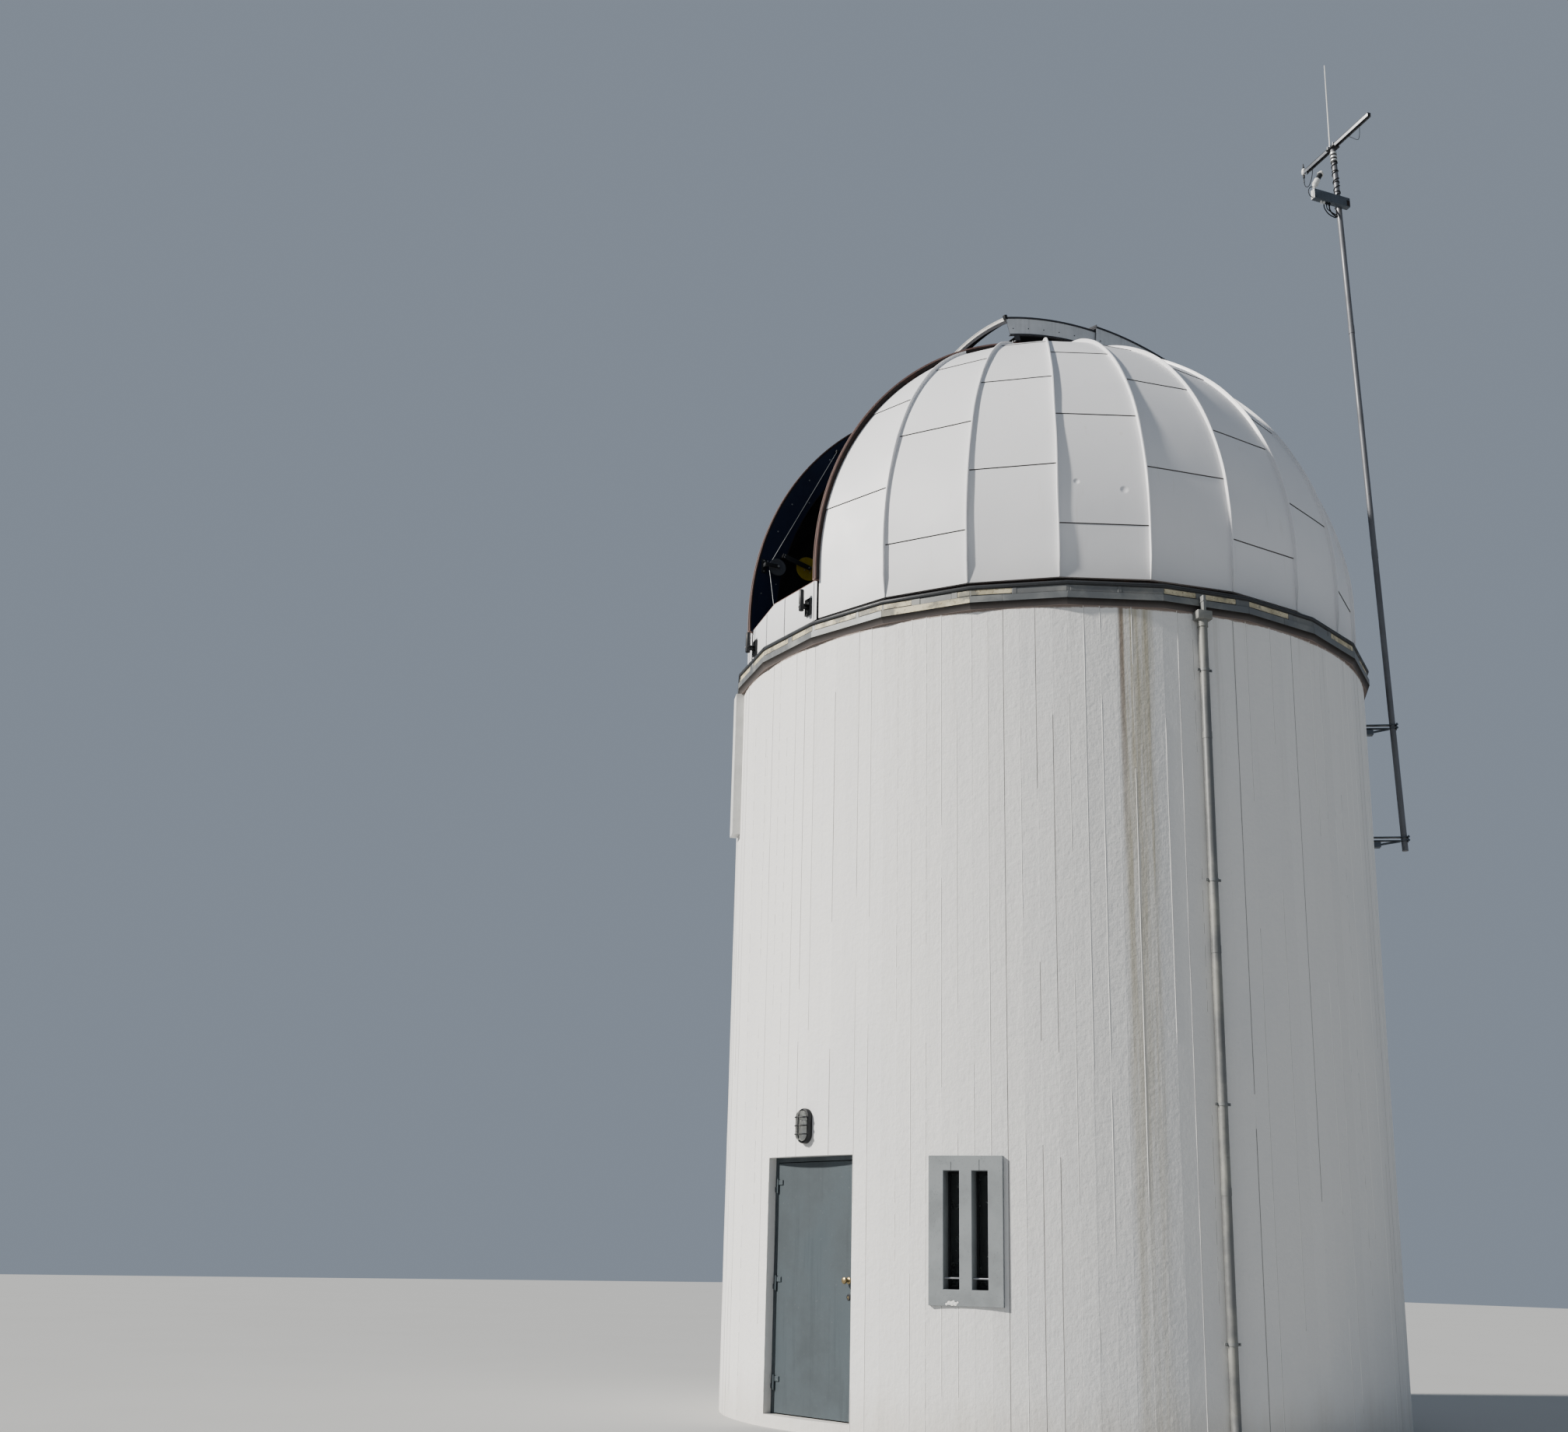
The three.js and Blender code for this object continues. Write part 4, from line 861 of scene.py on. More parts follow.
def girder(name, side):
    """A curved beam beside the slit: dark primer, two pale rims along its outer edge, navy blue inside."""
    outer, inner = side * GIRDER_X, side * (GIRDER_X - GIRDER_T)
    blue_out, blue_in = inner + side * 0.002, inner - side * 0.003
    rim = GIRDER_OUT
    beam = Piece(RUST, NAVY, RIM, STEEL)
    for x0, x1, r0, r1, material in (
        (outer, inner, rim - 0.0008, GIRDER_IN, 0),
        (outer + side * 0.01, outer - side * 0.001, rim, rim - 0.014, 2),
        (inner + side * 0.006, inner - side * 0.0035, rim, rim - 0.01, 2),
        (outer + side * 0.006, outer, rim - 0.014, rim - 0.04, 0),
        (blue_out, blue_in, rim - 0.022, GIRDER_IN + 0.008, 1),
    ):
        corners = ((x0, r0), (x1, r0), (x1, r1), (x0, r1))
        sections = [[in_slit(x, r, i * 1.5) for x, r in corners] for i in range(int(GIRDER_END / 1.5) + 1)]
        foot = [Vector((p.x, p.y, APRON_TOP - 0.02)) for p in sections[0]]
        beam.rings([foot] + sections, material)
    for x0, x1, y0, y1, up, material in (
        (outer, inner, -GIRDER_LEG, -GIRDER_IN, 0.002, 0),
        (blue_out, blue_in, -GIRDER_LEG + 0.002, -GIRDER_IN - 0.008, 0.003, 1),
    ):
        corners = ((x0, y0), (x1, y0), (x1, y1), (x0, y1))
        levels = (BASE_RING_TOP + up, APRON_TOP - 0.021 + up)
        beam.rings([[(x, y, z) for x, y in corners] for z in levels], material)
    left, right = min(outer, inner) - 0.002, max(outer, inner) + 0.002
    beam.box((left, -rim - 0.002, APRON_TOP - 0.022), (right, -2.9, APRON_TOP - 0.014), material=2)
    rivets = [(2.86, 6 + i * 7.3, 0.008) for i in range(20)]
    rivets += [(2.72, 9 + i * 7.3, 0.007) for i in range(0, 20, 3)]
    for radius, elevation, size in rivets:
        p = in_slit(blue_in, radius, elevation)
        beam.rod(p, p - Vector((side * 0.006, 0, 0)), size, 8, 3)
    beam.finish(f"girder_{name}", "dome", f"slit_girder_{name}", DOME_TURN)


# Shutter leaves
def on_arch(radius, x):
    return math.sqrt(radius * radius - x * x)


def arch(radius, start):
    """Radius and place across of points on an arch, from start to its mirror image."""
    return [(on_arch(radius, x), x) for x in (start - 2 * start * i / 18 for i in range(19))]


def leaf(name, body, leaf_size, wheels, wheel_x, lip, node, opening=None):
    """An arched sheet with side skirts, folded edges, a front lip, wheels and, in one leaf, an opening."""
    radius, half, low, high = leaf_size
    inside, under = half - LEAF_SHEET, radius - LEAF_SHEET
    piece = Piece(SHUTTER, SHUTTER_IN, LIP, STEEL, DARK)
    steps = []
    breaks = sorted({low, high, *(opening or ())})
    for a, b in zip(breaks, breaks[1:]):
        count = max(1, round((b - a) / 1.5))
        steps += [a + (b - a) * i / count for i in range(count)]
    steps.append(high)

    def run(points, e0, e1, material=0):
        kept = [e for e in steps if e0 - 1e-6 < e < e1 + 1e-6]
        piece.rings([[in_slit(x, r, e) for r, x in points] for e in kept], material)

    profile = [(SKIRT_IN, -half), *arch(radius, -half), (SKIRT_IN, half)]
    profile += [(SKIRT_IN, inside), *arch(under, inside), (SKIRT_IN, -inside)]
    if opening is None:
        run(profile, low, high)
    else:
        run(profile, low, opening[0])
        run(profile, opening[1], high)
        edge = half - 0.045
        outline = ((SKIRT_IN, half), (on_arch(radius, half), half), (on_arch(radius, edge), edge))
        outline += ((on_arch(under, edge), edge), (on_arch(under, inside), inside), (SKIRT_IN, inside))
        for side in (-1, 1):
            run([(r, side * x) for r, x in outline], *opening)
    for face in piece.bm.faces:
        middle = face.calc_center_median()
        skin = (middle - Vector((0, 0, CENTRE_Z))).length
        if skin < radius - LEAF_SHEET * 0.6 and abs(middle.x) < half - LEAF_SHEET * 0.5:
            face.material_index = 1

    def arched(r_in, r_out, e0, e1, reach, material):
        rows = []
        for i in range(17):
            x = -reach + reach * i / 8
            corners = ((r_out, e0), (r_out, e1), (r_in, e1), (r_in, e0))
            rows.append([in_slit(x, on_arch(r, x), e) for r, e in corners])
        piece.rings(rows, material)

    for r_in, r_out, e0, e1, material in lip:
        arched(radius + r_in, radius + r_out, low + e0, low + e1, half, material)
    arched(radius - 0.03, under - 0.0005, high - 0.6, high - 0.1, half - 0.02, 1)
    first = opening[1] if opening else low
    for k in (1, 2, 3):
        e = first + (high - first) * k / 4
        arched(radius - 0.04, under - 0.0005, e - 0.25, e + 0.25, half - 0.012, 1)
    top = on_arch(radius, half)
    foot_fold = ((0.003, 0.012), (0.003, 0), (-0.03, 0), (-0.03, 0.005), (0.0, 0.005), (0.0, 0.012))
    top_fold = ((0.006, -0.014), (0.006, 0.004), (-0.02, 0.01), (-0.02, 0.002), (0.0, -0.004), (0.0, -0.014))
    spacing = math.degrees(0.2 / radius)
    axle = GIRDER_OUT + GAP + WHEEL_R
    for side in (-1, 1):
        for fold, r in ((foot_fold, SKIRT_IN), (top_fold, top)):
            run([(r + up, side * (half + out)) for out, up in fold], low, high, 1)
        for i in range(int((high - low) / spacing)):
            p = in_slit(side * half, SKIRT_IN + (top - SKIRT_IN) * 0.36, low + spacing * (i + 0.3))
            piece.rod(p, p + Vector((side * 0.004, 0, 0)), 0.006, 8, 4, 0.005)
        for e in wheels:
            spot = in_plane(e)
            for x0, x1, size, sides, bevel in (
                (wheel_x - 0.006, wheel_x + 0.006, WHEEL_R, 20, 0.002),
                (wheel_x - 0.01, half - 0.003, 0.007, 12, 0),
            ):
                start, end = (side * x0, -axle, 0), (side * x1, -axle, 0)
                piece.rod(start, end, size, sides, 3, bevel=bevel, matrix=spot)
            left, right = sorted((side * (half - 0.009), side * (half - 0.001)))
            piece.box((left, -SKIRT_IN - 0.04, -0.03), (right, -axle + 0.015, 0.03), 0.001, 1, spot)
    if opening:
        stay_low, stay_high = (half - 0.03, -top - 0.03, -0.012), (half + 0.006, -top + 0.02, 0.022)
        piece.box(stay_low, stay_high, 0.004, 4, in_plane(low))
    piece.finish(name, body, node, DOME_TURN)


# Eaves ring
def prism_ring(piece, profile):
    """A closed profile of radius and height carried round the corners of the dome's base."""
    piece.rings([[polar(r, GORE_ANGLE * k, z) for r, z in profile] for k in range(GORES)], loop=True)


def facet_plate(piece, k, base, u0, u1, z0, z1, thick, corner, material):
    """A flat plate with rounded corners on facet k of the ring, from u0 to u1 along it."""
    a, b = polar(base, GORE_ANGLE * k), polar(base, GORE_ANGLE * (k + 1))
    along = (b - a).normalized()
    out = polar(1.0, GORE_ANGLE * (k + 0.5))

    def outline(inset, rise):
        spots = []
        for x, z, start in ((u1 - corner, z1 - corner, 0), (u0 + corner, z1 - corner, 90),
                            (u0 + corner, z0 + corner, 180), (u1 - corner, z0 + corner, 270)):
            for step in range(4):
                t = math.radians(start + 30 * step)
                spots.append((x + (corner - inset) * math.cos(t), z + (corner - inset) * math.sin(t)))
        return [a + along * u + out * rise + Vector((0, 0, z)) for u, z in spots]

    piece.rings([outline(0, -0.0005), outline(0, thick * 0.6), outline(thick * 0.5, thick)], material)


def eaves():
    # The ring's underside gets the soffit paint with its painted shade.
    dress("eaves_ring", SOFFIT_SHADE)
    recess, band = 3.1284, 3.143
    backing = Piece(ZINC_UP)
    prism_ring(backing, [(3.12, 6.8385), (recess, 6.8385), (recess, 6.898), (3.12, 6.898)])
    backing.finish("eaves_backing", "tower", angle=5)
    bead = Piece(BEAD)
    prism_ring(bead, [(3.131 + 0.0138 * math.cos(a), 6.916 + 0.0198 * math.sin(a)) for a in around(12)])
    bead.finish("eaves_bead", "tower", angle=50)
    upper = Piece(CREAM, ZINC_UP, DARK)
    lower = Piece(ZINC_LOW, CREAM)
    picks = random.Random(23)
    for k in range(GORES):
        often = 0.95 if k < 2 or k > 20 else 0.55
        length = 2 * recess * math.sin(HALF_GORE)
        u = picks.uniform(0.004, 0.03)
        while u < length - 0.1:
            end = min(u + picks.uniform(0.26, 0.5), length - 0.004)
            if picks.random() < often:
                edge = min(end + 0.012, length - 0.002)
                facet_plate(upper, k, recess, u, end, 6.848, 6.894, 0.0022, 0.007, 0)
                # A dark strip under each cream plate's lower edge, reaching past its right end: painted
                # shadow of the plate.
                facet_plate(upper, k, recess, u - 0.003, edge, 6.8388, 6.8465, 0.0008, 0.003, 2)
            else:
                facet_plate(upper, k, recess, u, end, 6.841, 6.895, 0.0018, 0.003, 1)
            u = end + picks.uniform(0.03, 0.09)
            if u < length - 0.01:
                facet_plate(upper, k, recess, end + 0.002, u - 0.003, 6.8392, 6.8965, 0.0042, 0.003, 1)
        length = 2 * band * math.sin(HALF_GORE)
        joints = range(picks.choice((0, 1, 1)))
        cuts = [0.0, *sorted(picks.uniform(0.1, length - 0.1) for _ in joints), length]
        for start, end in zip(cuts, cuts[1:]):
            cream = int(k in (0, 1, 23) and picks.random() < 0.45)
            facet_plate(lower, k, band, start + 0.0005, end - 0.0015, 6.7765, 6.8345, 0.0014, 0.002, cream)
    upper.finish("eaves_upper_plates", "tower", angle=20)
    lower.finish("eaves_lower_plates", "tower", angle=20)


# Door furniture
def door():
    leaf_low, leaf_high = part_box("door_leaf")
    dress("door_frame", DOOR, 0.0015)
    dress("door_leaf", DOOR, 0.0015)
    knob_low, knob_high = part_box("door_knob")
    x, z = (knob_low.x + knob_high.x) / 2, (knob_low.z + knob_high.z) / 2
    knob = Piece(BRASS, at=shift(x, DOOR_FACE, z) @ FACING_OUT)
    knob.lathe([
        (0, 0.0003), (0.028, 0.0003), (0.028, 0.003), (0.024, 0.007), (0.013, 0.01), (0.01, 0.02),
        (0.012, 0.03), (0.022, 0.036), (0.027, 0.046), (0.026, 0.055), (0.018, 0.061), (0, 0.062),
    ], 28)
    knob.finish("knob", "door", "door_knob", angle=35)
    lock = Piece(DARK, BRASS, at=shift(x + 0.004, DOOR_FACE, z - 0.13) @ FACING_OUT)
    lock.lathe([(0, 0.0003), (0.025, 0.0003), (0.025, 0.004), (0.021, 0.007), (0, 0.007)], 24)
    lock.rod((0, 0, 0.006), (0, 0, 0.0085), 0.009, 16, 1)
    lock.box((-0.003, -0.018, 0.006), (0.003, -0.006, 0.008), 0.0, 1)
    lock.finish("keyhole_rosette", "door")
    seal = Piece(RUBBER)
    for x in (leaf_low.x + 0.012, leaf_high.x - 0.02):
        seal.box((x, DOOR_FACE + 0.0502, 0.14), (x + 0.008, DOOR_FACE + 0.0545, leaf_high.z - 0.01), 0.001)
    seal.finish("door_seal", "door")


# Window plate with its slots
def window():
    dress("window_plate", PLATE, 0.004)
    dress("window_glass", WINDOW_GLASS)
    place = turn(WINDOW_AZ)
    bars = Piece(DARK, at=place)
    depth = PLATE_FACE + 0.15
    for middle in (-SLOT_X, SLOT_X):
        left, right = middle - SLOT_HALF, middle + SLOT_HALF
        for x in (left, right - 0.014):
            bars.box((x, depth, 1.151), (x + 0.014, depth + 0.03, 2.049), 0.002)
        for z0, z1 in ((1.151, 1.175), (1.245, 1.262), (2.028, 2.049)):
            bars.box((left + 0.014, depth + 0.002, z0), (right - 0.014, depth + 0.028, z1), 0.002)
    bars.finish("slot_frames", "tower")
    marks = Piece(DARK, CHIPS_AND_FIN_HIGHLIGHT, at=place)
    for x, high in ((-0.118, 2.118), (0.112, 2.135)):
        marks.box((x - 0.0015, PLATE_FACE - 0.0005, 2.052), (x + 0.0015, PLATE_FACE + 0.0005, high))
    for x, z, size in (
        (-0.132, 1.05, 0.017), (-0.108, 1.047, 0.02), (-0.082, 1.043, 0.016),
        (-0.096, 1.062, 0.01), (-0.152, 1.04, 0.011), (-0.064, 1.054, 0.009),
    ):
        spot = place @ shift(x, PLATE_FACE - 0.0001, z) @ FACING_OUT
        marks.lathe([(0, 0), (size * 1.12, 0), (size * 1.12, 0.0004), (0, 0.0004)], 9, 0, spot)
        marks.lathe([(0, 0.0003), (size, 0.0003), (size * 0.7, 0.0016), (0, 0.0022)], 9, 1, spot)
    marks.finish("plate_cracks", "tower")
    sill = Piece(STEEL, at=place)
    for middle in (-SLOT_X, SLOT_X):
        sill.rod((middle - SLOT_HALF, -3.06, 1.235), (middle + SLOT_HALF, -3.06, 1.235), 0.008, 12)
    sill.finish("slot_rails", "tower")


# Bulkhead lamp
def oval(half_width, half_height, out):
    """An upright oval on the wall, at a distance before it."""
    straight = half_height - half_width
    return [
        (half_width * math.cos(a), WALL_FACE - out,
         LAMP_Z + (straight if math.sin(a) > 0 else -straight) + half_width * math.sin(a))
        for a in around(40, 0.5)
    ]


def lamp():
    housing = Piece(DARK)
    housing.rings([oval(*step) for step in (
        (0.075, 0.145, 0.0), (0.076, 0.146, 0.012), (0.076, 0.146, 0.034), (0.073, 0.143, 0.043),
        (0.066, 0.136, 0.045),
    )])
    for up, reach in ((-0.07, 0.066), (0.0, 0.068), (0.07, 0.066)):
        bar = [(-reach * math.cos(a), 0.048 + 0.043 * math.sin(a) ** 0.6) for a in half_round(12)]
        points = [(-reach, 0.035), *bar, (reach, 0.035)]
        housing.tube([(x, WALL_FACE - out, LAMP_Z + up) for x, out in points], 0.005)
    bar = [(0.04, -0.139), (0.075, -0.12), (0.092, -0.08), (0.094, 0), (0.092, 0.08), (0.075, 0.12)]
    bar.append((0.04, 0.139))
    housing.tube([(0, WALL_FACE - out, LAMP_Z + up) for out, up in bar], 0.005)
    housing.finish("lamp_body", "tower", "lamp_housing")
    bowl = Piece(LAMP_GLASS)
    bowl.rings([oval(*step) for step in (
        (0.058, 0.126, 0.0453), (0.058, 0.126, 0.06), (0.054, 0.122, 0.074), (0.044, 0.112, 0.082),
        (0.02, 0.088, 0.085),
    )])
    bowl.finish("lamp_bowl", "tower", "lamp_glass")


# Downpipe
def downpipe():
    r, y = PIPE_R, WALL_FACE - PIPE_R - 0.008
    outlet = EAVES_LOW - 0.08
    pipe = Piece(ZINC_UP, ZINC_LOW, at=turn(DOWNPIPE_AZ))
    pipe.rod((0, y, 0.15), (0, y, outlet + 0.01), r, 24)
    bend = [(0, y, 0.3), (0, y, 0.17), (0, y - 0.02, 0.125), (0, y - 0.055, 0.095), (0, y - 0.11, 0.06)]
    pipe.tube(bend, r + 0.001, 20)
    for z in (1.9, 3.8, 5.6):
        pipe.rod((0, y, z), (0, y, z + 0.06), r + 0.0025, 24)
    pipe.box((-0.068, y - 0.053, outlet + 0.001), (0.068, y + 0.041, EAVES_LOW - 0.001), 0.006)
    pipe.rod((0, y, outlet - 0.06), (0, y, outlet + 0.005), r + 0.006, 24)
    pipe.box((-0.0135, y - 0.048, EAVES_LOW - 0.02), (0.0135, -3.1196, 6.858), 0.004, 1)
    pipe.box((-0.017, y - 0.05, 6.8), (0.017, -3.1192, 6.812), 0.002, 1)
    for z in (0.8, 2.6, 4.4, 6.2):
        pipe.rod((0, y, z - 0.013), (0, y, z + 0.013), r + 0.004, 24, 1)
        pipe.box((-0.012, y + r - 0.004, z - 0.013), (0.012, -(WALL_R - 0.004), z + 0.013), 0.001, 1)
        for x in (-r - 0.017, r + 0.017):
            pipe.box((x - 0.014, y - 0.004, z - 0.011), (x + 0.014, y + 0.004, z + 0.011), 0.001, 1)
            pipe.rod((x, y - 0.01, z), (x, y + 0.01, z), 0.005, 6, 1)
    pipe.finish("rain_pipe", "tower", "downpipe")


# Mast with its instruments
def mast_y(z):
    return -(MAST_FOOT_R + (MAST_TIP_R - MAST_FOOT_R) * (z - MAST_LOW) / (MAST_HIGH - MAST_LOW))


def u_bolt(piece, y, z, reach, leg_x, leg_y, material=0):
    """A U-bolt round the pole at y, with legs that end at leg_y."""
    bow = [(-reach * math.cos(a), y + 0.036 * math.sin(a), z) for a in half_round(10)]
    piece.tube([(-leg_x, leg_y, z), *bow, (leg_x, leg_y, z)], 0.005, 8, material)


def mast_bracket(name, z):
    """Two flat arms and a strut from a wall plate to a clamp round the pole, with a small box beneath."""
    wall, y = WALL_FACE, mast_y(z)
    made = Piece(CASE, STEEL, at=turn(MAST_AZ))
    made.box((-0.06, wall - 0.01, z - 0.09), (0.06, wall, z + 0.07), 0.002)
    for x in (-0.045, 0.045):
        for up in (-0.07, 0.05):
            made.rod((x, wall - 0.008, z + up), (x, wall - 0.02, z + up), 0.009, 6, 1)
    for up, wide in ((0.012, 0.03), (-0.022, 0.024)):
        made.box((-wide, y + 0.03, z + up), (wide, wall - 0.008, z + up + 0.008), 0.001)
    made.box((-0.035, wall - 0.125, z - 0.085), (0.035, wall - 0.008, z - 0.035), 0.003)
    made.rod((0.037, wall - 0.1, z - 0.06), (0.03, wall - 0.1, z - 0.06), 0.006, 8, 1)
    strut = ((wall - 0.006, z - 0.088), (wall - 0.05, z - 0.065), (y + 0.036, z - 0.02))
    made.tube([(0.012, *p) for p in strut], 0.01)
    for level in (z + 0.016, z - 0.018):
        made.box((-0.05, y - 0.0375, level - 0.012), (0.05, y - 0.0295, level + 0.012), 0.001)
        u_bolt(made, y, level, 0.036, 0.036, y - 0.047)
        for x in (-0.036, 0.036):
            made.rod((x, y - 0.0375, level), (x, y - 0.0435, level), 0.01, 6)
    made.finish(f"bracket_{name}", "tower", f"mast_bracket_{name}")


def cross_arm(place):
    arm = Piece(DARK, STEEL, at=place)
    arm.box((-0.6, -0.022, 0.037), (0.476, 0.022, 0.045), 0.001)
    for y in (-0.022, 0.017):
        arm.box((-0.5998, y, 0.0), (0.4758, y + 0.005, 0.037), 0.0008, 1)
        arm.box((-0.5996, y + 0.001, -0.0001), (0.4756, y + 0.004, 0.004))
    arm.box((-0.06, -0.045, 0.0), (0.06, 0.045, 0.012), 0.002)
    for x in (-0.045, 0.045):
        arm.tube([(x, -0.034, 0.012), (x, -0.034, 0.05), (x, 0.034, 0.05), (x, 0.034, 0.012)], 0.004, 8, 1)
        for y in (-0.034, 0.034):
            arm.rod((x, y, 0.012), (x, y, 0.019), 0.008, 6, 1)
    arm.finish("cross_arm", "tower", "mast_cross_arm")
    aerial = Piece(PLASTIC, STEEL, at=place)
    aerial.rod((0.045, 0, 0.0453), (0.045, 0, 0.075), 0.012, 12, 1)
    aerial.rod((0.045, 0, 0.07), (0.045, 0, 1.099), 0.008, 12, radius_to=0.005)
    aerial.finish("whip_aerial", "tower", "mast_aerial")
    sensor = Piece(PLASTIC, DARK, at=place @ shift(0.502, 0, 0))
    bulb = ((0.016, 0.01), (0.023, 0.022), (0.025, 0.045), (0.023, 0.066), (0.015, 0.084))
    tip = ((0.013, 0.084), (0.011, 0.1), (0.007, 0.118), (0.005, 0.149))
    stem = ((0.006, -0.088), (0.005, -0.04), (0.011, -0.028), (0.011, 0.002), (0.006, 0.012))
    sensor.lathe([(0, 0.008), *bulb, (0, 0.086)], 20)
    sensor.lathe([(0, 0.082), *tip, (0, 0.15)], 16, 1)
    sensor.lathe([(0, -0.09), *stem, (0, 0.012)], 14, 1)
    sensor.box((0.4763, -0.008, 0.015), (0.486, 0.008, 0.035), 0.001, 1, place)
    sensor.finish("bulb_sensor", "tower", "mast_sensor")


def instruments(place):
    case = Piece(CASE, PLASTIC, DARK, RUST, at=place)
    for low, high, bevel, material in (
        ((-0.388, -0.096, -0.055), (0.074, -0.034, 0.055), 0.004, 0),
        # A pale plate on the sunward end of the case: painted highlight of its sunlit end.
        ((-0.389, -0.094, -0.053), (-0.385, -0.036, 0.053), 0.001, 1),
        ((-0.382, -0.0968, -0.049), (0.068, -0.0955, 0.049), 0.0005, 0),
        ((-0.058, -0.0345, -0.029), (0.058, -0.03, 0.029), 0.001, 3),
        ((0.03, -0.0985, -0.045), (0.07, -0.0955, 0.02), 0.001, 3),
    ):
        case.box(low, high, bevel, material)
    for x in (-0.37, 0.056):
        for z in (-0.04, 0.04):
            case.rod((x, -0.096, z), (x, -0.0985, z), 0.006, 8, 2)
    case.rod((-0.366, -0.065, 0.053), (-0.366, -0.065, 0.09), 0.016, 16, 1)
    for up in (-0.022, 0.022):
        u_bolt(case, 0.0, up, 0.038, 0.04, -0.036, 3)
    for x, size, material in ((-0.285, 0.01, 1), (-0.25, 0.012, 1), (-0.215, 0.01, 2), (-0.18, 0.012, 2)):
        case.rod((x, -0.065, -0.054), (x, -0.065, -0.07), size + 0.003, 6, material)
        case.rod((x, -0.065, -0.068), (x, -0.065, -0.088), size, 12, material, size * 0.7)
    case.finish("instrument_case", "tower", "mast_instrument_box")
    tube = Piece(PLASTIC, DARK, at=place)

    def along(d):
        return Vector((-0.366 + d * 0.48, -0.065, 0.1023 + d * 0.877))

    tube.rod((-0.366, -0.065, 0.0903), along(0.03), 0.018, 18, radius_to=0.03)
    tube.rod(along(0.02), along(0.105), 0.0325, 22, bevel=0.006)
    tube.rod(along(0.1), along(0.19), 0.0265, 20, 1)
    tube.rod(along(0.185), along(0.196), 0.0345, 22, bevel=0.002)
    tube.rod(along(0.196), along(0.229), 0.0345, 22, radius_to=0.022)
    tube.finish("instrument_tube", "tower", "mast_instrument_tube")


def mast_cables(arm, box):
    """The cables between the instruments, and the taped coil and the spiral down the pole."""
    cable = Piece(RUBBER, TAPE, at=turn(MAST_AZ))
    for z, tall, material in (
        (12.965, 0.016, 0), (12.988, 0.02, 1), (13.012, 0.01, 0),
        (13.028, 0.024, 1), (13.056, 0.01, 0), (13.07, 0.026, 1),
    ):
        size = 0.035 + 0.002 * material
        cable.rod((0, mast_y(z), z), (0, mast_y(z + tall), z + tall), size, 24, material, bevel=0.002)
    spiral = []
    for i in range(61):
        a = 2 * math.pi * i / 12
        z = 12.5 + 0.465 * i / 60
        spiral.append((0.0335 * math.sin(a), mast_y(z) - 0.0335 * math.cos(a), z))
    cable.tube(spiral, 0.0045, 6)
    for z in (12.6, 12.72, 12.86):
        cable.rod((0, mast_y(z), z), (0, mast_y(z), z + 0.008), 0.0345, 24)

    def hanging(place, points, thick=0.004):
        """A cable through points, each given in the place's own directions, with its corners eased."""
        points = [place @ Vector(p) for p in points]
        path = []
        for p, q in zip(points, points[1:]):
            path += [p.lerp(q, t / 4) for t in range(4)]
        path.append(points[-1])
        for _ in range(3):
            path[1:-1] = [(p + q * 2 + r) / 4 for p, q, r in zip(path, path[1:], path[2:])]
        cable.tube(path, thick, matrix=Matrix())

    for x, thick, drop in ((-0.25, 0.006, 0.19), (-0.215, 0.005, 0.15), (-0.18, 0.007, 0.175)):
        hanging(box, (
            (x, -0.065, -0.086), (x, -0.065, -0.13), (x * 0.8, -0.062, -drop),
            (x * 0.35, -0.05, -drop - 0.015), (-0.05, -0.02, -drop * 0.75), (-0.036, 0.0, -0.06),
        ), thick)
    hanging(box, (
        (-0.378, -0.065, 0.096), (-0.425, -0.066, 0.075), (-0.448, -0.066, 0.02),
        (-0.43, -0.065, -0.03), (-0.388, -0.065, -0.042),
    ))
    sensor_cable = ((0.502, -0.086), (0.49, -0.15), (0.43, -0.19), (0.37, -0.12), (0.345, 0.002))
    hanging(arm, [(x, 0, z) for x, z in sensor_cable])
    hanging(arm, (
        (-0.24, 0, 0.004), (-0.3, -0.01, -0.05), (-0.4, -0.01, -0.16),
        (-0.43, -0.005, -0.1), (-0.44, 0, 0.003),
    ), 0.003)
    cable.finish("mast_cables", "tower")


def mast():
    place = turn(MAST_AZ)
    pole = Piece(POLE, DARK, at=place)
    pole.rod((0, mast_y(MAST_LOW), MAST_LOW), (0, mast_y(MAST_HIGH), MAST_HIGH), 0.029, 28)
    for z in (8.35, 10.9):
        pole.rod((0, mast_y(z), z), (0, mast_y(z + 0.09), z + 0.09), 0.0315, 28)
    pole.finish("pole", "tower", "mast_pole")
    for name, z in BRACKETS:
        mast_bracket(name, z)
    arm = place @ shift(0, -MAST_TIP_R, MAST_HIGH + 0.00146) @ turn(ARM_TURN)
    box = place @ shift(0, mast_y(BOX_Z), BOX_Z) @ turn(BOX_TURN)
    cross_arm(arm)
    instruments(box)
    mast_cables(arm, box)


